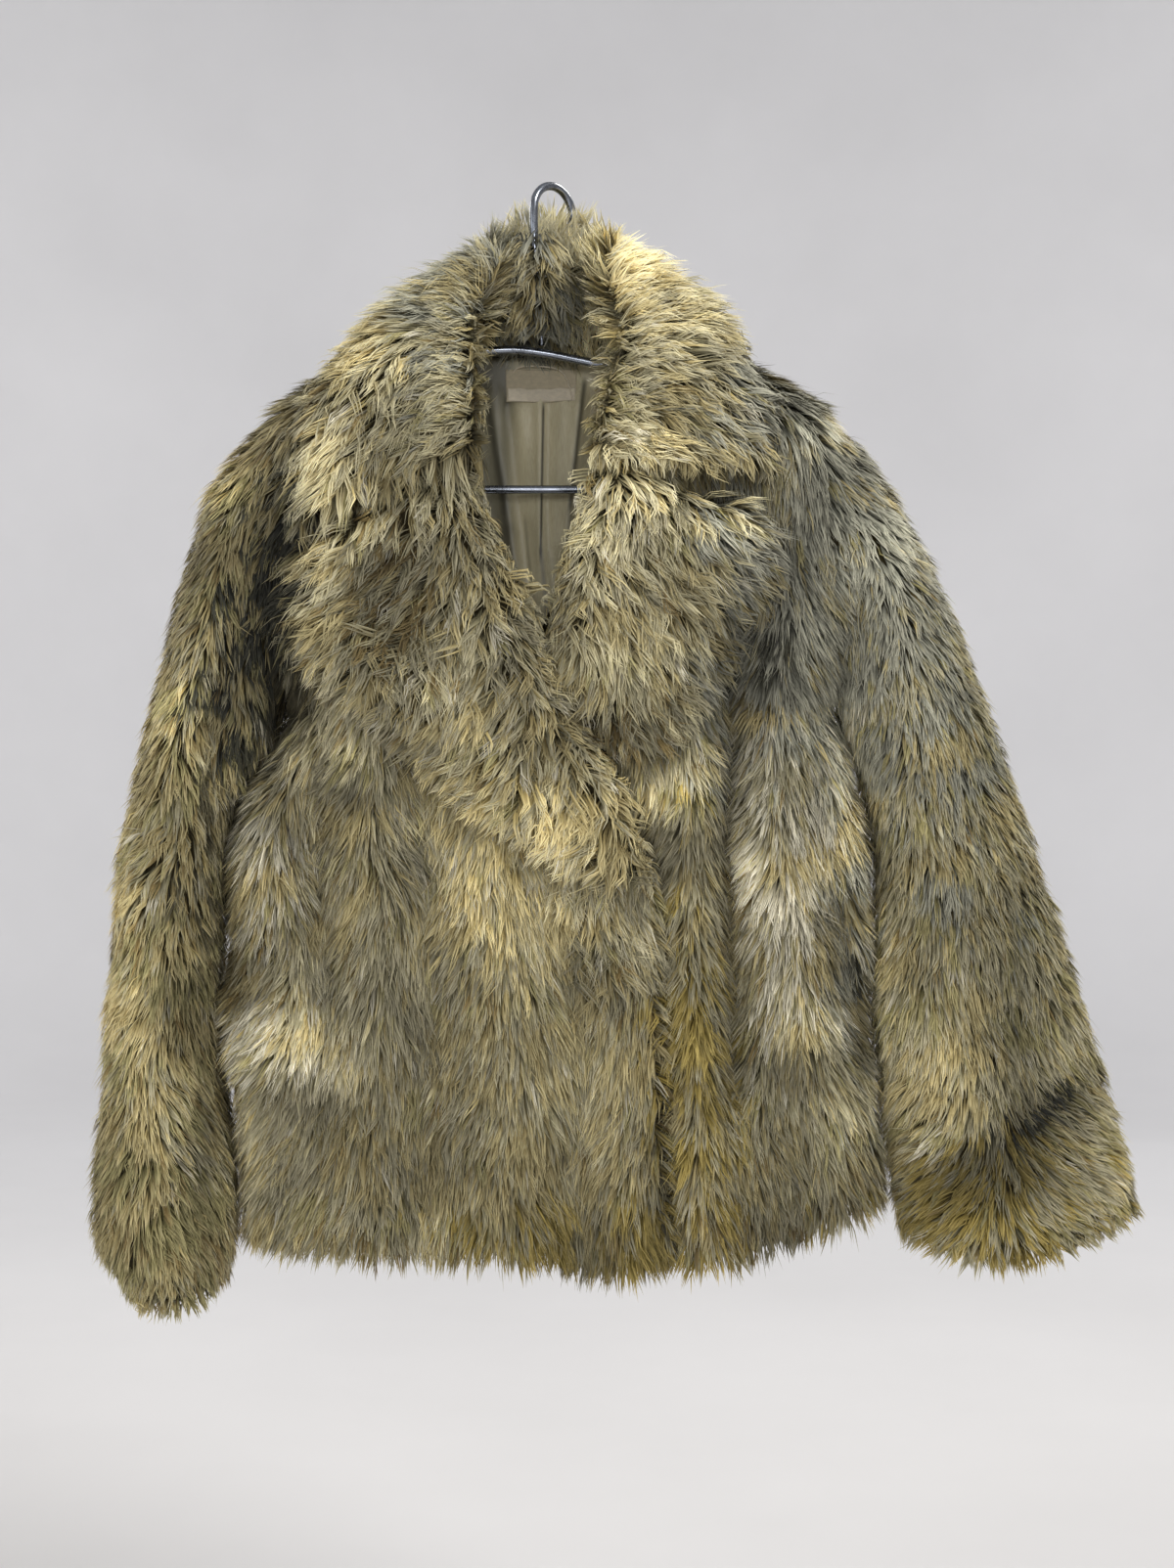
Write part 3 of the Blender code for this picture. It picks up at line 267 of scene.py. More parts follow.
# Colour of the pile by place: a family's share rises near the spot, and the tone paints the pile's own paler and darker
# patches together with painted light and shade.
# Painted shade lies in valleys, gaps, notches, under the lapels and in their cast shadows (cast_right, the shade
# family); painted light lies on the collar's crest, its top right and inside the neck.
SPOTS = [
    ("name",          "x",   "z",  "rx", "rz", "family", "share", "tone"),
    # neck and collar
    ("neck_ring",      -14,   -92,  40,   44,  "grey",     1.2,   -0.04),
    ("ring_top",         0,   -70,  13,   22,  "khaki",    0.4,   -0.26),
    ("crest",          -4,   -30,  46,   26,  "beige",    0.8,    0.24),
    # beige pile, painted lighter as painted light where sunlight falls on the collar's top right
    ("collar_gold",        42,   -78,  26,   34,  "beige",    1.6,    0.50),
    ("collar_gold2",    84,  -104,  34,   34,  "beige",    1.0,    0.24),
    ("collar_out_r",      140,  -160,  34,   60,  "grey",     2.2,   -0.02),
    ("collar_tip_r",      150,  -238,  34,   30,  "grey",     2.2,   -0.12),
    ("collar_low_l",  -152,  -194,  26,   28,  "beige",    0.7,    0.50),
    ("collar_side_l",  -54,  -212,  14,   34,  "khaki",    0.6,   -0.34),
    ("collar_left",       -94,  -172,  38,   48,  "beige",    0.9,   -0.34),
    ("collar_top_l",     -116,  -124,  30,   28,  "beige",    0.8,    0.60),
    ("collar_up_l",       -56,   -96,  40,   66,  "grey",     1.5,    0.08),
    ("collar_in_l",    -60,  -168,  16,   50,  "beige",    0.8,    0.34),
    ("collar_in_r",     58,  -212,  22,   24,  "beige",    0.8,    0.80),
    ("ring_right",         30,   -76,  12,   22,  "beige",    0.8,    0.70),
    # lapels
    ("notch_left",    -122,  -238,  30,   16,  "beige",    0.5,    0.56),
    ("leaf_top",      -154,  -264,  22,   18,  "gold",     0.5,    0.42),
    ("lapel_valley",  -108,  -296,  24,   52,  "brown",    1.0,   -0.40),
    ("lapel_dark",        -64,  -268,  20,   24,  "dark",     0.4,   -0.12),
    ("lapel_dark2",      -108,  -268,  22,   16,  "brown",    0.5,   -0.30),
    ("lapel_shade",       -30,  -332,  10,   20,  "khaki",    0.2,   -0.35),
    ("lapel_leaf",       -154,  -312,  15,   66,  "gold",     0.7,    0.24),
    ("lapel_roll",     -50,  -350,  24,   50,  "khaki",    0.6,    0.28),
    ("lapel_low_l",    -60,  -440,  40,   26,  "yellow",   0.6,    0.26),
    ("lapel_tip_l",        16,  -476,  30,   46,  "gold",     0.6,    0.44),
    ("lapel_right",     92,  -300,  50,   50,  "beige",    0.7,   -0.06),
    ("lapel_r_top",    112,  -244,  34,   14,  "beige",    0.8,    0.44),
    ("lapel_r_in",      30,  -262,  18,   60,  "beige",    0.6,    0.28),
    ("lapel_r_low",     42,  -388,  32,   16,  "brown",    1.1,   -0.42),
    ("notch_right",    132,  -222,  26,    7,  "shade",    1.6,   -0.40),
    # left front
    ("ridge_arm",     -210,  -470,  20,   64,  "frost",    1.3,    0.16),
    ("bulge_left",       -202,  -608,  40,   28,  "frost",    1.6,    0.52),
    ("low_left3",        -170,  -646,  26,   18,  "khaki",    0.4,   -0.38),
    ("low_left2",        -106,  -588,  26,   30,  "khaki",    0.4,   -0.32),
    ("edge_left",     -214,  -715,  16,   56,  "khaki",    0.4,    0.50),
    ("ridge_in_l",       -150,  -385,  24,   40,  "khaki",    0.4,    0.24),
    ("ridge_top_l",      -176,  -398,  12,   18,  "beige",    0.6,    0.48),
    ("valley_up_l",      -132,  -426,  18,   22,  "khaki",    0.5,   -0.38),
    ("valley_arm_l",     -190,  -456,  11,   36,  "khaki",    0.6,   -0.44),
    ("valley_left",   -118,  -510,  22,  110,  "khaki",    0.9,   -0.30),
    ("gold_side",      -88,  -450,  24,   24,  "gold",     0.8,    0.12),
    ("gold_chest",     -22,  -480,  36,   60,  "yellow",   0.9,    0.12),
    ("gold_down",      -56,  -500,  24,   50,  "yellow",   0.7,    0.22),
    ("gold_low",        20,  -540,  34,   60,  "gold",     0.7,   -0.02),
    ("low_left",      -150,  -680,  60,   60,  "khaki",    0.7,   -0.12),
    ("low_mid",           -60,  -700,  60,   60,  "gold",     0.6,   -0.14),
    ("low_gold",           24,  -690,  60,   60,  "gold",     1.1,   -0.06),
    ("hem_pale",          -88,  -740,  20,   20,  "khaki",    0.4,    0.36),
    ("ridge_edge",      30,  -650,  14,   60,  "gold",     0.8,    0.22),
    ("hem_mid",         20,  -752, 100,   34,  "amber",    2.0,   -0.22),
    ("hem_left",      -140,  -764, 100,   18,  "brown",    0.9,   -0.12),
    ("darker_mid_l",    -106,  -480,  22,   22,  "khaki",    0.5,   -0.34),
    # right front
    ("under_lapel",     80,  -424,  26,   24,  "khaki",    0.6,    0.46),
    ("valley_right",   118,  -362,  15,   56,  "grey",     1.6,   -0.62),
    ("valley_right2",  116,  -550,  12,   90,  "khaki",    0.8,   -0.34),
    ("shoulder_in_r",     184,  -206,  26,   28,  "grey",     2.0,   -0.14),
    ("shoulder_r_top",    180,  -174,  16,   13,  "grey",     1.0,    0.50),
    ("seam_r",            206,  -240,  20,   30,  "grey",     2.0,    0.10),
    ("sleeve_r_up",       228,  -256,  22,   24,  "grey",     1.0,    0.30),
    ("seam_low_r",        210,  -416,  14,   40,  "beige",    0.4,    0.30),
    ("front_top_r",       165,  -310,  46,   80,  "grey",     3.0,   -0.16),
    ("cast_right1",       158,  -322,  12,   28,  "shade",    1.0,   -0.46),
    ("cast_right2",       132,  -360,  14,   18,  "shade",    1.0,   -0.46),
    ("frost_up",          150,  -392,  14,   26,  "frost",    1.0,    0.04),
    ("valley_r3",         142,  -424,  22,   42,  "khaki",    0.3,   -0.34),
    ("frost_mid",      172,  -500,  26,   90,  "frost",    1.8,   -0.10),
    ("frost_side",     208,  -425,  20,   52,  "frost",    1.4,    0.44),
    ("frost_left_of",  146,  -482,  14,   20,  "frost",    1.0,    0.40),
    ("darker_right",         94,  -470,  24,   36,  "khaki",    0.6,   -0.48),
    ("darker_hip",          170,  -620,  28,   16,  "khaki",    0.4,   -0.50),
    ("low_right",         166,  -712,  40,   60,  "khaki",    1.0,   -0.24),
    ("side_low_r",        212,  -704,  14,   28,  "khaki",    0.3,   -0.28),
    ("gold_placket",      102,  -655,  26,  130,  "amber",    2.7,   -0.18),
    ("hem_right",      160,  -742,  66,   24,  "brown",    0.9,   -0.20),
    ("closure_shade",   76,  -720,  13,   60,  "dark",     0.8,   -0.40),
    ("pocket_r",       214,  -596,   8,   40,  "shade",    2.0,   -0.60),
    ("pocket_l",      -224,  -566,  13,   22,  "brown",    1.6,   -0.45),
    # left sleeve
    ("sleeve_l_in",   -194,  -275,  20,   58,  "shade",    5.0,   -1.10),
    ("sleeve_l_mid",     -220,  -356,  24,   52,  "shade",    4.0,   -0.80),
    ("sleeve_l_gap",  -184,  -362,  15,   26,  "dark",     6.0,   -1.40),
    ("sleeve_l_in2",  -246,  -480,  16,  110,  "dark",     0.8,   -0.20),
    ("sleeve_l_in3",     -256,  -690,  13,   90,  "olive",    1.0,   -0.44),
    ("gap_pale_l",       -226,  -659,  10,   16,  "khaki",    0.3,    0.40),
    ("arm_gap_l2",       -238,  -555,  12,   26,  "khaki",    0.4,    0.38),
    ("sleeve_l_out",     -306,  -500,  24,  150,  "gold",     1.3,    0.36),
    ("sleeve_l_out2", -268,  -378,  16,   28,  "gold",     0.8,    0.45),
    ("arm_gap_l",     -180,  -600,  14,   22,  "beige",    0.5,    0.40),
    ("sleeve_l_top",     -232,  -212,  30,   26,  "gold",     1.6,    0.34),
    ("sleeve_l_gold",    -230,  -258,  20,   32,  "gold",     1.0,   -0.34),
    ("sleeve_l_bend",    -264,  -582,  16,   42,  "olive",    0.9,   -0.40),
    ("arm_gap_d",        -240,  -608,  11,   18,  "khaki",    0.3,   -0.40),
    ("sleeve_l_low",  -300,  -730,  50,   60,  "olive",    0.6,    0.04),
    # right sleeve
    ("sleeve_r_top",      235,  -305,  56,  100,  "grey",     3.2,   -0.12),
    ("sleeve_r_in",    240,  -550,  16,   60,  "khaki",    0.8,    0.34),
    ("sleeve_r_in2",      208,  -520,  20,  120,  "grey",     2.0,    0.00),
    ("sleeve_r_mid",   300,  -470,  50,   90,  "grey",     0.8,   -0.12),
    ("sleeve_r_low",      280,  -640,  32,   54,  "gold",     0.9,    0.30),
    ("sleeve_r_out",   328,  -585,  28,   66,  "khaki",    0.7,   -0.44),
    ("pale_cuff",      280,  -690,  14,   10,  "frost",    0.8,    0.10),
    ("cuff_dent",      344,  -664,  26,   18,  "shade",    1.8,   -0.55),
    ("cuff_dent2",     318,  -706,  26,   20,  "amber",    2.2,   -0.50),
    ("cuff_low",          300,  -740,  76,   36,  "amber",    2.2,   -0.12),
]
# Painted shade lines along the lining's pleat and folds: ends, half width, depth.
PLEAT_SHADE_LINES = [
    (-8, -154, -10, -268, 1.7, 0.85), (-10, -262, -2, -345, 2.6, 0.55),
    (23, -136, 12, -232, 3.2, 0.75), (13, -236, 5, -330, 3.6, 0.5),
    (-50, -150, -37, -232, 5.0, 0.65), (-38, -232, -22, -330, 4.2, 0.5),
    (-22, -240, -13, -330, 2.2, 0.3),
]
# Pile colours, root, middle and tip, as 0-255 display values.
# The shade family is painted shade for pile in shadow; grey is a cool tint that also stands in for pile in bluish
# shade.
FAMILY = [
    ("name",   "root",       "middle",        "tip"),
    ("gold",   (60, 53, 27), (144, 129, 85),  (197, 184, 138)),
    ("khaki",  (56, 53, 34), (133, 126, 95),  (187, 179, 149)),
    ("frost",  (76, 72, 56), (162, 155, 130), (220, 214, 192)),
    ("yellow", (76, 65, 31), (171, 153, 98),  (222, 208, 158)),
    ("brown",  (46, 37, 18), (108, 91, 52),   (160, 141, 94)),
    ("dark",   (30, 28, 20), (74, 69, 49),    (118, 110, 82)),
    ("beige",  (76, 69, 45), (160, 148, 109), (210, 202, 164)),
    ("olive",  (55, 53, 27), (128, 120, 78),  (182, 172, 124)),
    ("grey",   (48, 48, 42), (124, 123, 108), (180, 177, 156)),
    ("amber",  (60, 50, 16), (138, 120, 58),  (192, 172, 104)),
    ("shade",  (20, 21, 19), (50, 50, 41),    (86, 84, 66)),
]
FAMILIES = [row[0] for row in FAMILY[1:]]


# ------------------------------------------------------------ shape functions
def pchip(xs, ys):
    xs = np.asarray(xs, float)
    ys = np.asarray(ys, float)
    h = np.diff(xs)
    d = np.diff(ys) / h
    m = np.zeros_like(ys)
    m[0], m[-1] = d[0], d[-1]
    for i in range(1, len(xs) - 1):
        if d[i - 1] * d[i] > 0:
            w1, w2 = 2 * h[i] + h[i - 1], h[i] + 2 * h[i - 1]
            m[i] = (w1 + w2) / (w1 / d[i - 1] + w2 / d[i])

    def f(x):
        x = np.clip(np.asarray(x, float), xs[0], xs[-1])
        i = np.clip(np.searchsorted(xs, x) - 1, 0, len(h) - 1)
        t = (x - xs[i]) / h[i]
        a = (1 + 2 * t) * (1 - t) ** 2
        b = t * (1 - t) ** 2
        c = t * t * (3 - 2 * t)
        e = t * t * (t - 1)
        return a * ys[i] + b * h[i] * m[i] + c * ys[i + 1] + e * h[i] * m[i + 1]
    return f


def column(table, key, value):
    names = table[0]
    a, b = names.index(key), names.index(value)
    rows = sorted(table[1:], key=lambda r: r[a])
    return pchip([r[a] for r in rows], [r[b] for r in rows])


def smoothstep(t):
    t = np.clip(t, 0.0, 1.0)
    return t * t * (3 - 2 * t)


side_l = column(BODY, "z", "side_l")
side_r = column(BODY, "z", "side_r")
arm_l = column(BODY, "z", "arm_l")
arm_r = column(BODY, "z", "arm_r")
body_front = column(BODY, "z", "front")
body_back = column(BODY, "z", "back")
shoulder_z = column(SHOULDER, "x", "z")
hem_z = column(HEM, "x", "z")
edge_left = column(EDGE, "z", "left")
edge_right = column(EDGE, "z", "right")
row_base = column(ROW, "r", "z")
row_slope = column(ROW, "r", "slope")


def fold_rise(table, x, z):
    total = np.zeros(np.broadcast(x, z).shape)
    for _name, x0, z0, x1, z1, half, rise in table[1:]:
        dx, dz = x1 - x0, z1 - z0
        length = math.hypot(dx, dz)
        ux, uz = dx / length, dz / length
        along = (x - x0) * ux + (z - z0) * uz
        across = (x - x0) * uz - (z - z0) * ux
        over = np.maximum(np.maximum(-along, along - length), 0.0)
        total = total + rise * np.exp(-(across / half) ** 2 - (over / (1.6 * half)) ** 2)
    return total


def section(x, z):
    left, right = side_l(z), side_r(z)
    mid, halfw = (left + right) / 2, (right - left) / 2
    xn = np.clip(np.abs(x - mid) / halfw, 0, 1)
    across = (1 - xn ** SIDE_POWER) ** (1 / SIDE_POWER)
    drop = np.clip((shoulder_z(x) - z) / SHOULDER_R, 0, 1)
    return across * np.sqrt(1 - (1 - drop) ** 2)


def front_y(x, z):
    full = section(x, z)
    return Y_SEAM + (body_front(z) - Y_SEAM) * full - fold_rise(FOLDS_FRONT, x, z) * full


def back_y(x, z):
    full = section(x, z)
    return Y_SEAM + (body_back(z) - Y_SEAM) * full + fold_rise(FOLDS_BACK, x, z) * full


def row_height(x, r):
    beyond = np.where(x < 0, np.minimum(x, NECK_L), np.maximum(x, NECK_R))
    z = row_base(r) + (shoulder_z(beyond) - Z_NECK) * row_slope(r)
    return z + (hem_z(x) - HEM_REF) * smoothstep((r - 10.5) / 6.5)


def ease(c):
    return 1 - (1 - c) ** 1.45


def outer_x(r, left):
    line = arm_l if left else arm_r
    x = np.full(np.shape(r), -190.0 if left else 190.0)
    for _ in range(40):
        x = 0.5 * x + 0.5 * line(row_height(x, r))
    return x


def inner_x(r, left):
    line = edge_left if left else edge_right
    x = np.full(np.shape(r), -60.0 if left else 60.0)
    for _ in range(40):
        x = 0.5 * x + 0.5 * line(row_height(x, r))
    return np.where(r == 0, NECK_L if left else NECK_R, x)


def on_seams(pts, r, at_end):
    beyond = (pts[..., 0] <= NECK_L + 0.01) | (pts[..., 0] >= NECK_R - 0.01)
    seam = (at_end & (r >= ROWS_UP)) | (beyond & (r == 0))
    pts[..., 1] = np.where(seam, Y_SEAM, pts[..., 1])
    return pts


def front_left_grid(rs, cs):
    r, c = np.meshgrid(rs, cs, indexing="ij")
    x0, x1 = inner_x(r, True), outer_x(r, True)
    x = x0 + (x1 - x0) * ease(c)
    z = row_height(x, r)
    return on_seams(np.stack([x, front_y(x, z), z], -1), r, c >= 1)


def under_left(x, z):
    lap = edge_left(z)
    return UNDERLAP * (1 - smoothstep((x - lap - 4) / 24)) * smoothstep((-300 - z) / 25)


def front_right_grid(rs, cs):
    r, c = np.meshgrid(rs, cs, indexing="ij")
    x0, x1 = inner_x(r, False), outer_x(r, False)
    plain = x0 + (x1 - x0) * ease(c)
    lap = edge_left(row_height(0 * x0, r))
    m1 = np.maximum(lap + 4, x0 + 0.18 * (x1 - x0))
    m2 = np.maximum(lap + 28, m1 + 0.12 * (x1 - x0))
    lapped = np.where(c < 2 / 9, x0 + (m1 - x0) * c * 4.5,
                      np.where(c < 3 / 9, m1 + (m2 - m1) * (c * 9 - 2),
                               m2 + (x1 - m2) * ease(np.clip(c * 1.5 - 0.5, 0, 1))))
    x = plain + (lapped - plain) * smoothstep(r / 5)
    z = row_height(x, r)
    return on_seams(np.stack([x, front_y(x, z) + under_left(x, z), z], -1), r, c >= 1)


def back_grid(rs, cols_side, cols_neck):
    c_side = np.linspace(0, 1, cols_side + 1)
    c_neck = np.linspace(0, 1, cols_neck + 1)[1:-1]
    rows = []
    for r in rs:
        r1 = np.array(r, float)
        narrow = 12 * smoothstep(r / 8)
        xl0, xr0 = NECK_L + narrow, NECK_R - narrow
        left = xl0 + (outer_x(r1, True) - xl0) * ease(c_side)
        right = xr0 + (outer_x(r1, False) - xr0) * ease(c_side)
        rows.append(np.concatenate([left[::-1], xl0 + (xr0 - xl0) * c_neck, right]))
    x = np.array(rows)
    r = np.array(rs, float)[:, None] + 0 * x
    z = row_height(x, r)
    mid, half = (NECK_L + NECK_R) / 2, (NECK_R - NECK_L) / 2
    scoop = np.sqrt(np.clip(1 - ((x - mid) / half) ** 2, 0, 1))
    z = z - 17 * scoop * (1 - smoothstep(r / 4.5))
    ends = np.zeros(x.shape, bool)
    ends[:, [0, -1]] = True
    return on_seams(np.stack([x, back_y(x, z), z], -1), r, ends)


def sleeve_grid(table, armhole, rings, turn):
    read = {k: column(table, "ring", k) for k in table[0][1:]}
    out = [armhole]
    for k in rings:
        if k == 0:
            continue
        kk = max(k, 1.0)
        a_in = np.array([read["x_in"](kk), 0, read["z_in"](kk)])
        a_out = np.array([read["x_out"](kk), 0, read["z_out"](kk)])
        mid, arm = (a_in + a_out) / 2, (a_out - a_in) / 2
        p = 2 / 2.4
        cs = np.sign(np.cos(turn)) * np.abs(np.cos(turn)) ** p
        sn = np.sign(np.sin(turn)) * np.abs(np.sin(turn)) ** p
        pts = mid + arm * cs[:, None]
        pts[:, 1] = read["y_mid"](kk) - read["y_half"](kk) * sn
        pts[:, 2] -= read["sag"](kk) * (1 - cs ** 2)
        pts[:, 1] -= fold_rise(FOLDS_SLEEVE, pts[:, 0], pts[:, 2]) * sn
        if k < 1:
            pts = armhole + (pts - armhole) * k
        out.append(pts)
    return np.array(out)


def grid_normals(grids):
    """Smooth outward normals, shared where grids share a point."""
    acc = {}
    for pts, wraps, flip in grids:
        nxt = np.roll(pts, -1, axis=1)
        a, b, c, d = pts[:-1], pts[1:], nxt[1:], nxt[:-1]
        nor = np.cross(c - a, d - b) * (-1 if flip else 1)
        size = np.linalg.norm(nor, axis=-1, keepdims=True)
        nor = np.where(size > 1e-9, nor / np.maximum(size, 1e-9), 0)
        n, m = pts.shape[:2]
        for i in range(n - 1):
            for j in range(m if wraps else m - 1):
                v = nor[i, j]
                for p in (a[i, j], b[i, j], c[i, j], d[i, j]):
                    key = (round(p[0], 2), round(p[1], 2), round(p[2], 2))
                    acc[key] = acc.get(key, 0) + v
    res = []
    for pts, _w, _f in grids:
        nor = np.zeros_like(pts)
        for i in range(pts.shape[0]):
            for j in range(pts.shape[1]):
                p = pts[i, j]
                v = acc.get((round(p[0], 2), round(p[1], 2), round(p[2], 2)))
                if v is None or np.linalg.norm(v) < 1e-9:
                    v = np.array([0, -1.0, 0])
                nor[i, j] = v / np.linalg.norm(v)
        res.append(nor)
    return res


def unit(v):
    return v / np.maximum(np.linalg.norm(v, axis=-1, keepdims=True), 1e-9)


def field_normals(P, outward):
    """Normals of one open grid by central differences; outward picks the side."""
    du = np.gradient(P, axis=0)
    dv = np.gradient(P, axis=1)
    n = unit(np.cross(du, dv))
    if np.sum(n * outward) < 0:
        n = -n
    return n


def blur(a, times=1):
    """Smooths a grid of numbers along both of its directions."""
    for _ in range(times):
        for ax in (0, 1):
            b = np.concatenate([np.take(a, [0], ax), a, np.take(a, [-1], ax)], ax)
            n = a.shape[ax]
            a = (np.take(b, range(0, n), ax) + 2 * np.take(b, range(1, n + 1), ax)
                 + np.take(b, range(2, n + 2), ax)) / 4
    return a


# --------------------------------------------------------------- mesh building
def new_object(name, me, mats):
    obj = bpy.data.objects.new(name, me)
    bpy.context.scene.collection.objects.link(obj)
    for m in mats:
        me.materials.append(m)
    return obj


def mesh_from(name, verts, faces, mats, slots=None, smooth=True):
    me = bpy.data.meshes.new(name)
    me.from_pydata((np.asarray(verts) * MM).tolist(), [], faces)
    if slots is not None:
        me.polygons.foreach_set("material_index", np.asarray(slots, np.int32))
    me.polygons.foreach_set("use_smooth", np.full(len(me.polygons), smooth))
    me.update()
    obj = new_object(name, me, mats)
    return obj


def signed_volume(verts, faces):
    v = np.asarray(verts)
    total = 0.0
    for f in faces:
        for k in range(1, len(f) - 1):
            total += np.dot(v[f[0]], np.cross(v[f[k]], v[f[k + 1]]))
    return total / 6


def thin_shell(name, outer, inner, mats, wraps=False, inner_slot=1):
    """Closed cloth between two grids: outer face slot 0, inner face another slot."""
    n, m = outer.shape[:2]
    verts = np.concatenate([outer.reshape(-1, 3), inner.reshape(-1, 3)])
    half = n * m
    faces, slots = [], []
    for i in range(n - 1):
        for j in range(m if wraps else m - 1):
            q = (i * m + j, (i + 1) * m + j, (i + 1) * m + (j + 1) % m, i * m + (j + 1) % m)
            faces.append(q)
            slots.append(0)
            faces.append(tuple(half + v for v in q[::-1]))
            slots.append(inner_slot)
    for j in range(m if wraps else m - 1):
        a, b = j, (j + 1) % m
        faces.append((a, b, half + b, half + a))
        a, b = (n - 1) * m + j, (n - 1) * m + (j + 1) % m
        faces.append((b, a, half + a, half + b))
        slots += [0, 0]
    if not wraps:
        for i in range(n - 1):
            a, b = i * m, (i + 1) * m
            faces.append((b, a, half + a, half + b))
            a, b = i * m + m - 1, (i + 1) * m + m - 1
            faces.append((a, b, half + b, half + a))
            slots += [0, 0]
    if signed_volume(verts, faces) < 0:
        faces = [f[::-1] for f in faces]
    return mesh_from(name, verts, faces, mats, slots)


def tree_of(names):
    verts, polys = [], []
    for n in names:
        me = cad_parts[n].data
        base = len(verts)
        verts += [Vector(v.co) / MM for v in me.vertices]
        polys += [tuple(base + i for i in p.vertices) for p in me.polygons]
    return BVHTree.FromPolygons(verts, polys)


class Waves:
    """Smooth, seeded, repeatable variation in space, about -2 to 2."""

    def __init__(self, seed, scale, count=10):
        r = np.random.default_rng(seed)
        k = r.normal(size=(count, 3))
        k /= np.linalg.norm(k, axis=1, keepdims=True)
        self.k = k * (2 * math.pi / scale) * r.uniform(0.6, 1.5, (count, 1))
        self.phase = r.uniform(0, 2 * math.pi, count)
        self.gain = math.sqrt(2 / count)

    def __call__(self, p):
        return np.sin(p @ self.k.T + self.phase).sum(-1) * self.gain


# ------------------------------------------------------------------- the pile
Y_FRONT, Y_BACK = -91.0, 94.5      # where standing pile is brushed flat
wave_big = Waves(3, 170)
wave_mid = Waves(5, 62)
wave_small = Waves(8, 24)
wave_yaw = Waves(13, 95)
wave_yaw2 = Waves(14, 34)
wave_lift = Waves(21, 30)
wave_hue = Waves(31, 120)
wave_pick = Waves(37, 46)


def nap_field(P, N, base, splay, swirl=1.0):
    """Direction that the pile lies in: down, away from ridges, with its fans."""
    V = base + splay * N * np.array([1.0, 0.0, 0.0])
    yaw = swirl * (0.15 * wave_yaw(P) + 0.09 * wave_yaw2(P))
    V = V + yaw[..., None] * np.array([1.0, 0.0, 0.0])
    front = (N[..., 1] < 0.3)
    for _n, x, z, reach, spread, lean_x, lean_z, _m in FANS[1:]:
        dx, dz = P[..., 0] - x, P[..., 2] - z
        w = np.exp(-(dx ** 2 + dz ** 2) / reach ** 2) * front
        V = V + w[..., None] * np.stack([spread * 1.7 * dx / reach + lean_x, 0 * dx, lean_z + 0 * dx], -1)
    return V


def tangle(C, N):
    """How much more the locks are turned about here than elsewhere."""
    more = np.ones(len(C))
    for _n, x, z, reach, _s, _x, _z, mess in FANS[1:]:
        more += mess * np.exp(-((C[:, 0] - x) ** 2 + (C[:, 2] - z) ** 2) / reach ** 2) * (N[:, 1] < 0.3)
    return more


def patch(P, N, V, length=34.0, lean=38.0, end=None, density=1.0, depth=6.0, wraps=False,
          pull=0.88, tone=0.0, lay=3.0):
    """One grid that pile grows on."""
    def full(a):
        a = np.broadcast_to(np.asarray(a, float), P.shape[:2]).copy()
        return np.concatenate([a, a[:, :1]], axis=1) if wraps else a

    def full3(a):
        a = np.asarray(a, float)
        return np.concatenate([a, a[:, :1]], axis=1) if wraps else a
    return {"P": full3(P), "N": full3(N), "V": full3(V), "length": full(length),
            "lean": full(lean), "density": full(density), "depth": full(depth),
            "end": None if end is None else full3(end), "pull": full(pull),
            "tone": full(tone), "lay": full(lay)}


def weights_of(pt):
    P = pt["P"]
    a, b, c, d = P[:-1, :-1], P[1:, :-1], P[1:, 1:], P[:-1, 1:]
    area = 0.5 * np.linalg.norm(np.cross(c - a, d - b), axis=-1)
    D = pt["density"]
    return area * (D[:-1, :-1] + D[1:, :-1] + D[1:, 1:] + D[:-1, 1:]) / 4


def scatter(pt, count, rng):
    """Even, seeded places on a patch with everything read there."""
    w = weights_of(pt)
    cum = np.cumsum(w.ravel())
    k = (np.arange(count) + rng.random(count)) / count * cum[-1]
    cell = np.clip(np.searchsorted(cum, k), 0, w.size - 1)
    i, j = np.unravel_index(cell, w.shape)
    seq = np.arange(count) + 0.5
    u = (rng.random() + seq * 0.7548776662466927) % 1.0
    v = (rng.random() + seq * 0.5698402909980532) % 1.0

    def read(a):
        ex = (slice(None),) + (None,) * (a.ndim - 2)
        uu, vv = u[ex], v[ex]
        return ((1 - uu) * (1 - vv) * a[i, j] + uu * (1 - vv) * a[i + 1, j]
                + uu * vv * a[i + 1, j + 1] + (1 - uu) * vv * a[i, j + 1])
    out = {k2: read(pt[k2]) for k2 in ("P", "N", "V", "length", "lean", "depth", "pull", "tone", "lay")}
    out["end"] = read(pt["end"]) if pt["end"] is not None else np.full((count, 3), np.nan)
    out["N"] = unit(out["N"])
    return out


def hidden(C, N, T, cover):
    """True where another piece lies on the cloth, here and a little down the nap."""
    res = np.zeros(len(C), bool)
    if cover is None:
        return res
    tree, reach = cover
    for q in range(len(C)):
        n = Vector(N[q])
        a = tree.ray_cast(Vector(C[q]) + n * 0.6, n, reach)
        if a[0] is None:
            continue
        b = tree.ray_cast(Vector(C[q] + T[q] * 13.0) + n * 0.6, n, reach)
        res[q] = b[0] is not None
    return res


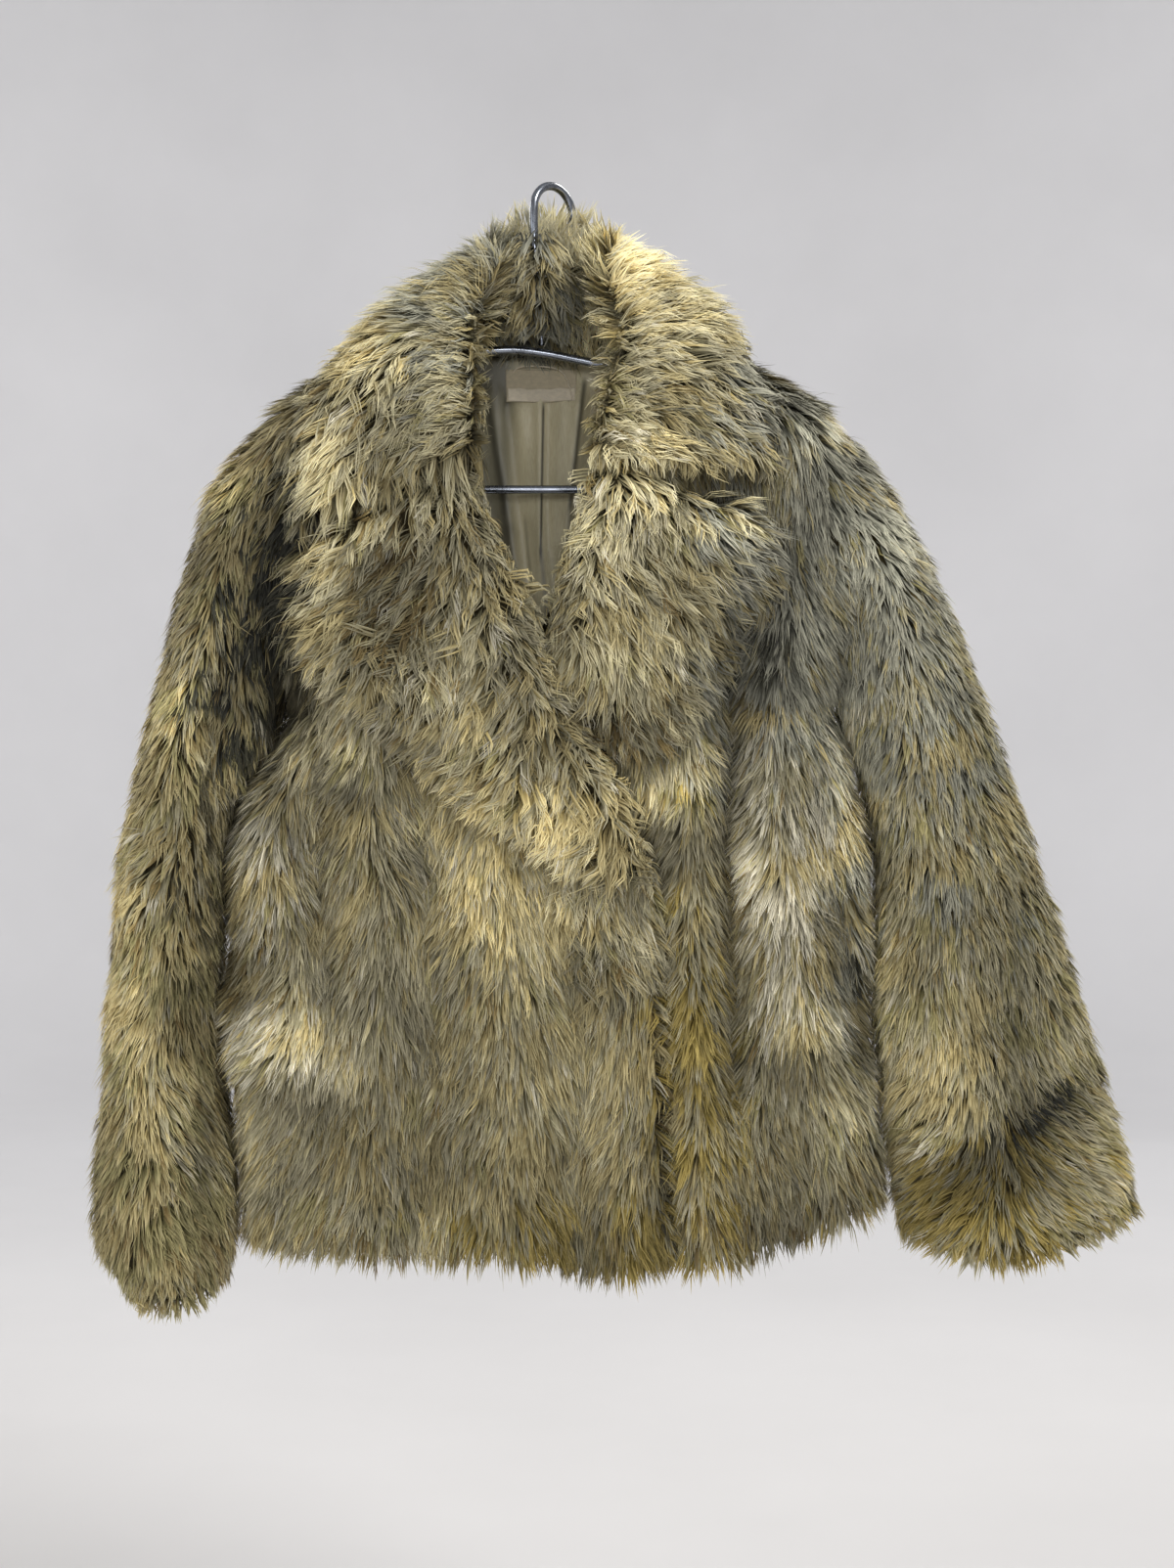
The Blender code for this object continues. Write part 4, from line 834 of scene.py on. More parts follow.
def colours(C, N, base, rng, piece_tone, folds=None, near=None, noise=0.048):
    """Family and tone of each lock, from its place; the tone also holds painted light and shade."""
    share = np.zeros((len(C), len(FAMILIES)))
    for name, value in base.items():
        share[:, FAMILIES.index(name)] += value
    hue = wave_hue(C)
    share[:, FAMILIES.index("khaki")] += 0.5 * np.clip(hue, 0, 2)
    share[:, FAMILIES.index("gold")] += 0.5 * np.clip(-hue, 0, 2)
    tone = 0.5 + piece_tone + 0.040 * wave_big(C) + 0.050 * wave_mid(C) + 0.028 * wave_small(C)
    facing = np.clip(0.75 - N[:, 1], 0, 1)          # spots are seen from the front
    for _n, x, z, rx, rz, fam, s, dt in SPOTS[1:]:
        w = np.exp(-((C[:, 0] - x) / rx) ** 2 - ((C[:, 2] - z) / rz) ** 2) * facing
        share[:, FAMILIES.index(fam)] += 1.6 * s * w
        tone = tone + dt * w
    if folds is not None:
        # painted light and shade: pile on fold ridges is painted lighter and pile in troughs darker
        tone = tone + 0.025 * np.clip(fold_rise(folds, C[:, 0], C[:, 2]), -12, 8)
    if near is not None:
        # painted shade: pile close to another piece is darkened as if in that piece's shadow
        for tree, reach, amount in near:
            for q in range(len(C)):
                hit = tree.find_nearest(Vector(C[q]), reach * 2.2)
                if hit[0] is not None:
                    tone[q] -= amount * math.exp(-(hit[3] / reach) ** 2)
    share = share ** 1.3
    cum = np.cumsum(share, axis=1)
    cum /= cum[:, -1:]
    # neighbours mostly share a family
    g = 0.85 * wave_pick(C) + 0.75 * rng.normal(size=len(C))
    pick = 1 / (1 + np.exp(-1.45 * g))
    fam = (pick[:, None] > cum).sum(axis=1)
    tone = tone + rng.normal(0, noise, len(C))
    return np.clip(fam, 0, len(FAMILIES) - 1), tone, cum


def pile(name, patches, strands, per, base, mat, cover=None, seed=1, piece_tone=0.0,
         radius=3.3, width=(0.85, 1.45), folds=None, near=None, turn=0.10, curl=1.5,
         segs=2, noise=0.048):
    """A mesh of tapered strands: they grow in locks that draw together at the tip."""
    rng = np.random.default_rng(seed)
    total = sum(weights_of(p).sum() for p in patches)
    parts = []
    want = strands // per
    for p in patches:
        share = weights_of(p).sum() / total
        n = max(8, int(round(want * share)))
        s = scatter(p, n, rng)
        s["T"] = unit(s["V"] - s["N"] * np.sum(s["V"] * s["N"], axis=1, keepdims=True))
        if cover is not None:
            # covered places give their share to the rest
            gone = hidden(s["P"], s["N"], s["T"], cover)
            left = 1 - gone.mean()
            if 0.02 < left < 0.97:
                s = scatter(p, int(n / left), rng)
                s["T"] = unit(s["V"] - s["N"] * np.sum(s["V"] * s["N"], axis=1, keepdims=True))
                gone = hidden(s["P"], s["N"], s["T"], cover)
            s = {k: v[~gone] for k, v in s.items()}
        parts.append(s)
    S = {k: np.concatenate([s[k] for s in parts]) for k in parts[0]}
    K = len(S["P"])
    keep = rng.permutation(K)[:want]
    S = {k: v[keep] for k, v in S.items()}
    K = len(keep)
    C, N, T = S["P"], S["N"], S["T"]
    B = np.cross(N, T)
    mess = tangle(C, N)
    L = S["length"] * (1 + 0.06 * np.clip(wave_mid(C + 40), -1.5, 1.5)) * rng.uniform(0.93, 1.06, K)
    lean = S["lean"] + 6 * np.clip(wave_lift(C), -1.6, 1.6) + rng.normal(0, 5, K)
    lay = S["lay"] + 3 * np.clip(wave_lift(C + 90), -1.6, 1.6) + rng.normal(0, 4, K) + 5 * (mess - 1)
    yaw = rng.normal(0, turn, K) * mess
    bend = rng.normal(0, curl, K) * mess
    fam, tone, cum = colours(C, N, base, rng, piece_tone, folds, near, noise)
    tone = tone + S["tone"]
    pull = np.clip(S["pull"] + rng.normal(0, 0.12, K), 0.25, 0.95)
    has_end = ~np.isnan(S["end"][:, 0])
    END = np.where(has_end[:, None], np.nan_to_num(S["end"]), 0)

    def rep(a):
        return np.repeat(a, per, axis=0)

    def course(T_, B_, N_, yaw_, lean_, lay_, end_, has_):
        """First and last direction of a strand."""
        Ty = T_ * np.cos(yaw_)[:, None] + B_ * np.sin(yaw_)[:, None]
        a0, a1 = np.radians(lean_)[:, None], np.radians(lay_)[:, None]
        d0 = Ty * np.cos(a0) + N_ * np.sin(a0)
        d1 = Ty * np.cos(a1) + N_ * np.sin(a1)
        e1 = unit(end_ + B_ * (yaw_ * 0.8)[:, None] + N_ * (0.25 * (a1 - 0.05)))
        return d0, np.where(has_[:, None], e1, d1)

    def along(root, d0, d1, L_, t):
        return root + L_[:, None] * (d0 * (t - t * t / 2) + d1 * (t * t / 2))

    Kn = K * per
    Nr, Tr, Br = rep(N), rep(T), rep(B)
    root_c = rep(C - S["depth"][:, None] * N)
    c0, c1 = course(Tr, Br, Nr, rep(yaw), rep(lean), rep(lay), rep(END), rep(has_end))
    rho = np.sqrt(rng.random(Kn)) * radius * rng.uniform(0.8, 1.2, Kn)
    phi = rng.uniform(0, 2 * math.pi, Kn)
    root = root_c + (rho * np.cos(phi) * 1.35)[:, None] * Tr + (rho * np.sin(phi))[:, None] * Br
    stray = rng.random(Kn) < 0.07
    Lr = rep(L)
    Ls = Lr * rng.uniform(0.80, 1.05, Kn) * np.where(stray, 1.12, 1.0)
    d0, d1 = course(Tr, Br, Nr, rep(yaw) + rng.normal(0, 0.10, Kn) * (1 + 1.2 * stray),
                    rep(lean) + rng.normal(0, 5, Kn) + 7 * stray,
                    rep(lay) + rng.normal(0, 4, Kn) + 6 * stray, rep(END), rep(has_end))
    pull_s = rep(pull) * np.where(stray, 0.25, 1.0)
    bend_s = rep(bend) + rng.normal(0, 0.5, Kn)
    tip = rng.normal(0, 0.5, (2, Kn))
    ts = (0.0, 0.60, 1.0) if segs == 2 else (0.0, 0.36, 0.70, 1.0)
    phase = rep(rng.uniform(0, 2 * math.pi, K)) + rng.normal(0, 0.25, Kn)
    pts = []
    for t in ts:
        p = along(root, d0, d1, Ls, t)
        tc = t * Ls / Lr
        cp = root_c + Lr[:, None] * (c0 * (tc - tc * tc / 2)[:, None] + c1 * (tc * tc / 2)[:, None])
        dirn = unit(c0 * (1 - tc)[:, None] + c1 * tc[:, None])
        off = p - cp
        off = off - dirn * np.sum(off * dirn, axis=1, keepdims=True)
        p = p - off * (pull_s * t ** 1.1)[:, None]
        sway = np.sin(4.6 * t + phase) - np.sin(phase)
        lift = np.sin(4.0 * t + 1.7 * phase) - np.sin(1.7 * phase)
        p = p + Br * (bend_s * sway + tip[0] * t)[:, None] + Nr * (0.45 * bend_s * lift + tip[1] * 0.6 * t)[:, None]
        pts.append(p)
    for p in pts:
        for at, way in ((Y_FRONT, -1), (Y_BACK, 1)):
            over = way * (p[:, 1] - at)
            p[:, 1] = np.where(over > 0, at + way * 4.5 * np.tanh(over / 9), p[:, 1])
    D = unit(pts[-1] - pts[0])
    S0 = unit(np.cross(D, Nr))
    F0 = np.cross(S0, D)
    psi = np.clip(rng.normal(0, 0.35, Kn), -0.9, 0.9)[:, None]
    side = S0 * np.cos(psi) + F0 * np.sin(psi)
    w0 = rng.uniform(*width, Kn) * np.where(stray, 0.55, 1.0)
    nv = 2 * segs + 1
    lv = np.zeros((Kn, nv, 3), np.float32)
    shape = (0.7, 1.0) if segs == 2 else (0.7, 1.0, 0.88)
    for q, f in enumerate(shape):
        lv[:, 2 * q] = pts[q] - side * (w0 * f / 2)[:, None]
        lv[:, 2 * q + 1] = pts[q] + side * (w0 * f / 2)[:, None]
    lv[:, nv - 1] = pts[-1]
    # each lock is shaded as one rounded tuft
    round_b = (rho * np.sin(phi) / radius)[:, None] * Br * 0.62 + (rho * np.cos(phi) / radius)[:, None] * Tr * 0.22
    tuft = Nr * 0.80 + round_b
    ln = np.zeros_like(lv)
    for q in range(nv):
        edge = 0.0 if q == nv - 1 else (-0.20 if q % 2 == 0 else 0.20)
        ln[:, q] = unit(tuft + edge * side)
    # colour: some strands of each lock come from another family
    fam_s = rep(fam)
    other = (rng.random(Kn)[:, None] > rep(cum)).sum(axis=1)
    fam_s = np.clip(np.where(rng.random(Kn) < 0.09, other, fam_s), 0, len(FAMILIES) - 1)
    tone_s = np.clip(rep(tone) + rng.normal(0, 0.014, Kn), 0.03, 0.97)

    me = bpy.data.meshes.new(name)
    me.vertices.add(Kn * nv)
    me.vertices.foreach_set("co", (lv.reshape(-1) * MM).astype(np.float32))
    corners, starts = [], []
    for q in range(segs - 1):
        starts.append(len(corners))
        corners += [2 * q, 2 * q + 1, 2 * q + 3, 2 * q + 2]
    starts.append(len(corners))
    corners += [nv - 3, nv - 2, nv - 1]
    loop = np.array(corners)
    loops = (loop[None] + nv * np.arange(Kn)[:, None]).ravel().astype(np.int32)
    me.loops.add(Kn * len(corners))
    me.loops.foreach_set("vertex_index", loops)
    me.polygons.add(Kn * segs)
    start = (np.array(starts)[None] + len(corners) * np.arange(Kn)[:, None]).ravel().astype(np.int32)
    me.polygons.foreach_set("loop_start", start)
    me.polygons.foreach_set("use_smooth", np.ones(Kn * segs, bool))
    me.update(calc_edges=True)
    uv = me.uv_layers.new(name="OFBake")
    cross = np.array([-1, 1] * segs + [0])[None] * 0.010
    vt = np.array([t for t in ts[:-1] for _ in (0, 1)] + [1.0])[None]
    uu = (tone_s[:, None] + cross)
    vv = (fam_s[:, None] + 0.05 + 0.90 * vt) / len(FAMILIES) + 0 * uu
    uvs = np.stack([uu, vv], -1).astype(np.float32)
    uv.data.foreach_set("uv", uvs[:, loop].reshape(-1))
    att = me.attributes.new("custom_normal", "FLOAT_VECTOR", "POINT")
    att.data.foreach_set("vector", ln.reshape(-1))
    me.update()
    obj = new_object(name, me, [mat])
    print(f"{name}: {Kn} strands, {Kn * (2 * segs - 1)} triangles, {total * 1e-6:.3f} m2 in all")
    return obj


def rim(line, inner, N, V, radius=5.0, arc=(0, 140), steps=5, reach=0.8, sag=0.5, **more):
    """Pile round a free edge. line: points on the outer face along the edge;
    inner: the next line of points inwards."""
    E = unit(line - inner)
    E = unit(E - N * np.sum(E * N, axis=1, keepdims=True))
    centre = line - radius * N - 0.7 * radius * E
    th = np.radians(np.linspace(arc[0], arc[1], steps))
    P = np.array([centre + radius * (math.cos(a) * N + math.sin(a) * E) for a in th])
    Nn = np.array([math.cos(a) * N + math.sin(a) * E for a in th])
    Tt = np.array([-math.sin(a) * N + math.cos(a) * E for a in th])
    end = np.array([unit(reach * E + sag * unit(V) + 0.15 * math.cos(a) * N) for a in th])
    more.setdefault("lean", 55.0)
    more.setdefault("depth", 3.0)
    return patch(P, Nn, Tt + 0.6 * V[None], end=end, **more)


# ------------------------------------------------------------------ materials
def to_linear(c):
    return tuple(((v / 255) / 12.92) if v / 255 <= 0.04045 else (((v / 255) + 0.055) / 1.055) ** 2.4
                 for v in c)


class Nodes:
    def __init__(self, name):
        self.mat = bpy.data.materials.new(name)
        self.mat.use_nodes = True
        self.tree = self.mat.node_tree
        self.shader = self.tree.nodes["Principled BSDF"]

    def add(self, kind, **props):
        node = self.tree.nodes.new(kind)
        for k, v in props.items():
            setattr(node, k, v)
        return node

    def link(self, a, b):
        self.tree.links.new(a, b)

    def math(self, op, a, b=None, clamp=False):
        n = self.add("ShaderNodeMath", operation=op, use_clamp=clamp)
        for i, v in enumerate((a, b)):
            if v is None:
                continue
            if isinstance(v, (int, float)):
                n.inputs[i].default_value = v
            else:
                self.link(v, n.inputs[i])
        return n.outputs[0]

    def remap(self, v, a, b, c, d, smooth=False):
        n = self.add("ShaderNodeMapRange")
        if smooth:
            n.interpolation_type = "SMOOTHSTEP"
        self.link(v, n.inputs["Value"])
        for k, x in zip(("From Min", "From Max", "To Min", "To Max"), (a, b, c, d)):
            n.inputs[k].default_value = x
        return n.outputs[0]

    def mix(self, f, a, b, kind="MIX"):
        n = self.add("ShaderNodeMix", data_type="RGBA", blend_type=kind)
        n.clamp_factor = True
        for sock, v in ((n.inputs[0], f), (n.inputs[6], a), (n.inputs[7], b)):
            if isinstance(v, (int, float)):
                sock.default_value = v
            elif isinstance(v, tuple):
                sock.default_value = (*v, 1)
            else:
                self.link(v, sock)
        return n.outputs[2]

    def noise(self, vec, scale, detail=3.0, rough=0.55, dims="3D"):
        n = self.add("ShaderNodeTexNoise", noise_dimensions=dims)
        if vec is not None:
            self.link(vec, n.inputs["Vector"])
        n.inputs["Scale"].default_value = scale
        n.inputs["Detail"].default_value = detail
        n.inputs["Roughness"].default_value = rough
        return n

    def place(self):
        return self.add("ShaderNodeTexCoord").outputs["Object"]

    def stretch(self, vec, scale, turn=(0, 0, 0)):
        n = self.add("ShaderNodeMapping")
        self.link(vec, n.inputs["Vector"])
        n.inputs["Scale"].default_value = scale
        n.inputs["Rotation"].default_value = turn
        return n.outputs[0]

    def set(self, **values):
        for k, v in values.items():
            self.shader.inputs[k.replace("_", " ")].default_value = v


def pile_material():
    m = Nodes("fur_pile")
    uvn = m.add("ShaderNodeUVMap", uv_map="OFBake")
    sep = m.add("ShaderNodeSeparateXYZ")
    m.link(uvn.outputs[0], sep.inputs[0])
    x, y = sep.outputs[0], sep.outputs[1]
    count = len(FAMILIES)
    y8 = m.math("MULTIPLY", y, float(count))
    fam = m.math("FLOOR", y8)
    t = m.math("SUBTRACT", y8, fam)
    spot = m.math("DIVIDE", m.math("ADD", fam, 0.5), float(count))
    ramps = []
    for col in (1, 2, 3):
        ramp = m.add("ShaderNodeValToRGB")
        ramp.color_ramp.interpolation = "CONSTANT"
        els = ramp.color_ramp.elements
        els[0].position = 0.0
        els[0].color = (*to_linear(FAMILY[1][col]), 1)
        els.remove(els[1])
        for k in range(1, count):
            e = els.new(k / count)
            e.color = (*to_linear(FAMILY[1 + k][col]), 1)
        m.link(spot, ramp.inputs[0])
        ramps.append(ramp.outputs[0])
    c = m.mix(m.remap(t, 0.05, 0.50, 0, 1, True), ramps[0], ramps[1])
    c = m.mix(m.remap(t, 0.45, 0.97, 0, 1, True), c, ramps[2])
    bright = m.math("MULTIPLY", m.math("POWER", 6.5, x), 0.366)
    # fine streaks along the strands
    stretch = m.stretch(uvn.outputs[0], (420.0, 26.0, 1.0))
    streak = m.noise(stretch, 1.0, 2.0, 0.6, "2D").outputs["Fac"]
    bright = m.math("MULTIPLY", bright, m.remap(streak, 0.25, 0.75, 0.90, 1.10))
    comb = m.add("ShaderNodeCombineColor")
    for i in range(3):
        m.link(bright, comb.inputs[i])
    c = m.mix(1.0, c, comb.outputs[0], "MULTIPLY")
    m.link(c, m.shader.inputs["Base Color"])
    m.link(m.remap(streak, 0.2, 0.8, 0.58, 0.74), m.shader.inputs["Roughness"])
    m.set(Specular_IOR_Level=0.28, Sheen_Weight=0.10, Sheen_Roughness=0.5)
    m.shader.inputs["Sheen Tint"].default_value = (0.95, 0.88, 0.66, 1)
    return m.mat


def undercoat_material():
    """Short matted pile and backing under the locks."""
    m = Nodes("fur_undercoat")
    p = m.place()
    big = m.noise(p, 22.0, 3.0).outputs["Fac"]
    long_ = m.stretch(p, (520.0, 520.0, 90.0))
    fine = m.noise(long_, 1.0, 4.0, 0.65).outputs["Fac"]
    c = m.mix(m.remap(fine, 0.3, 0.7, 0, 1), to_linear((28, 26, 17)), to_linear((66, 60, 40)))
    c = m.mix(m.remap(big, 0.35, 0.65, 0, 0.6), c, to_linear((60, 50, 26)))
    m.link(c, m.shader.inputs["Base Color"])
    m.link(m.remap(fine, 0.2, 0.8, 0.75, 0.95), m.shader.inputs["Roughness"])
    m.set(Specular_IOR_Level=0.15)
    bump = m.add("ShaderNodeBump")
    bump.inputs["Strength"].default_value = 0.7
    bump.inputs["Distance"].default_value = 0.002
    m.link(fine, bump.inputs["Height"])
    m.link(bump.outputs[0], m.shader.inputs["Normal"])
    return m.mat


def satin_material(name, light, dark, seam_x=None):
    m = Nodes(name)
    p = m.place()
    sep = m.add("ShaderNodeSeparateXYZ")
    m.link(p, sep.inputs[0])
    slow = m.noise(m.stretch(p, (34.0, 34.0, 9.0)), 1.0, 4.0, 0.6).outputs["Fac"]
    thread = m.noise(m.stretch(p, (2600.0, 2600.0, 130.0)), 1.0, 2.0, 0.5).outputs["Fac"]
    weft = m.add("ShaderNodeTexWave", wave_type="BANDS", bands_direction="Z")
    m.link(p, weft.inputs["Vector"])
    weft.inputs["Scale"].default_value = 700.0
    weft.inputs["Distortion"].default_value = 1.5
    c = m.mix(m.remap(slow, 0.3, 0.7, 0, 1, True), to_linear(light), to_linear(dark))
    c = m.mix(m.remap(thread, 0.3, 0.7, 0.0, 0.35), c, to_linear(tuple(min(255, v * 1.25) for v in light)))
    if seam_x is not None:
        warm = m.remap(sep.outputs[0], seam_x - 0.002, seam_x + 0.010, 0, 0.75, True)
        c = m.mix(warm, c, to_linear((170, 146, 100)))
        # painted shade on the lining's left side
        left_shade = m.remap(sep.outputs[0], -0.022, -0.038, 0, 0.85, True)
        c = m.mix(left_shade, c, to_linear((88, 86, 72)))
    if seam_x is not None:
        # painted shade darkens the satin along each pleat line
        for x0, z0, x1, z1, half, depth in PLEAT_SHADE_LINES:
            slope = (x1 - x0) / (z1 - z0)
            line = m.math("ADD", m.math("MULTIPLY", sep.outputs[2], slope), (x0 - slope * z0) * MM)
            gap = m.math("ABSOLUTE", m.math("SUBTRACT", sep.outputs[0], line))
            near = m.remap(gap, 0.0, half * MM, depth, 0.0, True)
            top = m.remap(sep.outputs[2], (z0 - 4) * MM, (z0 + 6) * MM, 1.0, 0.0, True)
            low = m.remap(sep.outputs[2], (z1 - 8) * MM, (z1 + 4) * MM, 0.0, 1.0, True)
            c = m.mix(m.math("MULTIPLY", near, m.math("MULTIPLY", top, low)), c, to_linear((44, 42, 34)))
    m.link(c, m.shader.inputs["Base Color"])
    m.link(m.remap(slow, 0.3, 0.7, 0.34, 0.46), m.shader.inputs["Roughness"])
    m.set(Specular_IOR_Level=0.55, Sheen_Weight=0.25, Sheen_Roughness=0.35)
    m.shader.inputs["Sheen Tint"].default_value = (0.92, 0.90, 0.78, 1)
    h = m.math("ADD", m.math("MULTIPLY", thread, 0.5), m.math("MULTIPLY", weft.outputs["Fac"], 0.5))
    fine = m.add("ShaderNodeBump")
    fine.inputs["Strength"].default_value = 0.16
    fine.inputs["Distance"].default_value = 0.0003
    m.link(h, fine.inputs["Height"])
    soft = m.add("ShaderNodeBump")
    soft.inputs["Strength"].default_value = 0.5
    soft.inputs["Distance"].default_value = 0.0025
    m.link(slow, soft.inputs["Height"])
    m.link(fine.outputs[0], soft.inputs["Normal"])
    m.link(soft.outputs[0], m.shader.inputs["Normal"])
    return m.mat


def tape_material(name, ground, thread_c, scale=900.0):
    m = Nodes(name)
    p = m.place()
    warp = m.add("ShaderNodeTexWave", wave_type="BANDS", bands_direction="X")
    weft = m.add("ShaderNodeTexWave", wave_type="BANDS", bands_direction="Z")
    for w, s in ((warp, scale), (weft, scale * 0.8)):
        m.link(p, w.inputs["Vector"])
        w.inputs["Scale"].default_value = s
        w.inputs["Distortion"].default_value = 0.8
    mott = m.noise(m.stretch(p, (260.0, 260.0, 420.0)), 1.0, 4.0, 0.65).outputs["Fac"]
    weave = m.math("MULTIPLY", warp.outputs["Fac"], weft.outputs["Fac"])
    c = m.mix(m.remap(weave, 0, 0.7, 0, 0.6), to_linear(ground), to_linear(thread_c))
    c = m.mix(m.remap(mott, 0.3, 0.7, 0.0, 0.45), c, to_linear(tuple(v * 0.80 for v in ground)))
    m.link(c, m.shader.inputs["Base Color"])
    m.link(m.remap(mott, 0.2, 0.8, 0.55, 0.8), m.shader.inputs["Roughness"])
    m.set(Specular_IOR_Level=0.35, Sheen_Weight=0.2)
    bump = m.add("ShaderNodeBump")
    bump.inputs["Strength"].default_value = 0.15
    bump.inputs["Distance"].default_value = 0.0002
    m.link(weave, bump.inputs["Height"])
    m.link(bump.outputs[0], m.shader.inputs["Normal"])
    return m.mat


def steel_material():
    m = Nodes("hanger_steel_dark")
    p = m.place()
    wear = m.noise(p, 60.0, 5.0, 0.6).outputs["Fac"]
    scratch = m.noise(m.stretch(p, (900.0, 900.0, 160.0)), 1.0, 3.0, 0.7).outputs["Fac"]
    c = m.mix(m.remap(wear, 0.4, 0.7, 0, 1, True), to_linear((150, 155, 164)), to_linear((112, 116, 122)))
    m.link(c, m.shader.inputs["Base Color"])
    r = m.math("ADD", m.remap(wear, 0.3, 0.75, 0.16, 0.30), m.remap(scratch, 0.45, 0.8, 0.0, 0.12))
    m.link(r, m.shader.inputs["Roughness"])
    m.set(Metallic=1.0)
    bump = m.add("ShaderNodeBump")
    bump.inputs["Strength"].default_value = 0.12
    bump.inputs["Distance"].default_value = 0.0002
    m.link(scratch, bump.inputs["Height"])
    m.link(bump.outputs[0], m.shader.inputs["Normal"])
    return m.mat


def plain_material(name, rgb, scale, amount, rough):
    m = Nodes(name)
    p = m.place()
    n = m.noise(p, scale, 4.0).outputs["Fac"]
    c = m.mix(m.remap(n, 0.3, 0.7, 0, 1), to_linear(rgb), to_linear(tuple(v * (1 - amount) for v in rgb)))
    m.link(c, m.shader.inputs["Base Color"])
    m.set(Roughness=rough, Specular_IOR_Level=0.2)
    return m.mat


FUR = pile_material()
UNDER = undercoat_material()
SATIN = satin_material("lining_khaki_satin", (230, 216, 176), (198, 184, 144), seam_x=0.026)
SATIN_IN = satin_material("lining_inside", (116, 108, 80), (92, 84, 60))
TAPE = tape_material("label_ground", (216, 202, 170), (232, 218, 188))
TAPE_LIGHT = tape_material("label_strip", (246, 232, 204), (252, 244, 222), 1100.0)
STEEL = steel_material()

# ------------------------------------------------------------------ the cloth
DOWN = np.array([0.0, 0.0, -1.0])
rs = np.linspace(0, ROWS_ALL, ROWS_ALL * SUB + 1)
cs = np.linspace(0, 1, COLS_FRONT * SUB + 1)
f_left = front_left_grid(rs, cs)
f_right = front_right_grid(rs, cs)
back = back_grid(rs, COLS_FRONT * SUB, COLS_NECK * SUB)


def deepen(P, table, way, amount):
    """Soft cloth creases a little deeper than its plain solid."""
    full = section(P[..., 0], P[..., 2]) ** 2
    P[..., 1] += way * amount * np.clip(fold_rise(table, P[..., 0], P[..., 2]), -10, 8) * full


deepen(f_left, FOLDS_FRONT, -1, 0.5)
deepen(f_right, FOLDS_FRONT, -1, 0.5)
deepen(back, FOLDS_BACK, 1, 0.4)
up = ROWS_UP * SUB
loop_l = np.concatenate([f_left[:up + 1, -1], back[up - 1:0:-1, 0]])
loop_r = np.concatenate([f_right[:up + 1, -1], back[up - 1:0:-1, -1]])
turn = np.arange(2 * up) * math.pi / up
rings = np.linspace(0, RINGS, RINGS * 4 + 1)
s_left = sleeve_grid(SLEEVE_LEFT, loop_l, rings, turn)
s_right = sleeve_grid(SLEEVE_RIGHT, loop_r, rings, turn)
n_fl, n_fr, n_bk, n_sl, n_sr = grid_normals([
    (f_left, False, True), (f_right, False, False), (back, False, True),
    (s_left, True, False), (s_right, True, True)])

OUT_D, IN_D = 5.0, 9.6      # faces of the backing, behind the outline of the pile

pieces = {}


def cloth(name, node, P, N, wraps=False, mats=None, trim=0.4):
    """The backing of one piece: a thin closed shell that replaces its CAD node."""
    outer, inner = P - OUT_D * N, P - IN_D * N
    obj = thin_shell(name, outer, inner, mats or [UNDER, SATIN_IN], wraps)
    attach(obj, "root")
    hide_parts(node)
    pieces[name] = obj
    return obj


sh_back = cloth("cloth_back", "back", back, n_bk)
sh_fl = cloth("cloth_front_left", "front_left", f_left, n_fl)
sh_fr = cloth("cloth_front_right", "front_right", f_right, n_fr)
sh_sl = cloth("cloth_sleeve_left", "sleeve_left", s_left, n_sl, wraps=True)
sh_sr = cloth("cloth_sleeve_right", "sleeve_right", s_right, n_sr, wraps=True)

torso = tree_of(["front_left", "front_right", "back", "sleeve_left", "sleeve_right"])


def face_y(tree, x, z, way, reach=9.0, start=300.0):
    best = None
    for dx, dz in ((0, 0), (reach, 0), (-reach, 0), (0, reach), (0, -reach)):
        hit = tree.ray_cast(Vector((x + dx, way * start, z + dz)), Vector((0, -way, 0)))
        if hit[0] is not None and (best is None or way * hit[0].y > way * best):
            best = hit[0].y
    return best if best is not None else 0.0


def lapel_grid(table, rows, cols):
    """Upper and under faces of a lapel that lies on its front."""
    read = {k: column(table, "t", k) for k in table[0][1:]}
    upper = np.zeros((rows + 1, cols + 1, 3))
    ys = np.zeros((rows + 1, cols + 1))
    high = np.zeros_like(ys)
    for i in range(rows + 1):
        t = i / rows
        a = np.array([read["roll_x"](t), read["roll_z"](t)])
        b = np.array([read["edge_x"](t), read["edge_z"](t)])
        h = pchip([0, 0.16, 0.45, 0.75, 1.0],
                  [7.5, float(read["roll_h"](t)), float(read["dip_h"](t)), float(read["leaf_h"](t)), 6.5])
        for j in range(cols + 1):
            s = j / cols
            x, z = a + (b - a) * s
            y = min(face_y(torso, x, z, -1), float(front_y(x, z)) + 2.0)
            ys[i, j] = y
            high[i, j] = float(h(s))
            upper[i, j] = (x, 0, z)
    ys = np.minimum(ys, blur(ys, 2))
    under = upper.copy()
    under[..., 1] = ys - LAY_GAP
    upper[..., 1] = ys - LAY_GAP - high
    return upper, under


def lapel_piece(name, node, table, rows, cols):
    upper, under = lapel_grid(table, rows, cols)
    N = field_normals(upper, np.array([0, -1.0, 0]))
    face = upper - 4.5 * N
    face[..., 1] = np.minimum(face[..., 1], under[..., 1] - 2.6)
    obj = thin_shell(name, face, under - np.array([0, 0.8, 0]), [UNDER, UNDER])
    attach(obj, "root")
    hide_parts(node)
    pieces[name] = obj
    return obj, upper, N


sh_ll, lap_l, n_ll = lapel_piece("cloth_lapel_left", "lapel_left", LAPEL_LEFT, 36, 21)
sh_lr, lap_r, n_lr = lapel_piece("cloth_lapel_right", "lapel_right", LAPEL_RIGHT, 27, 18)


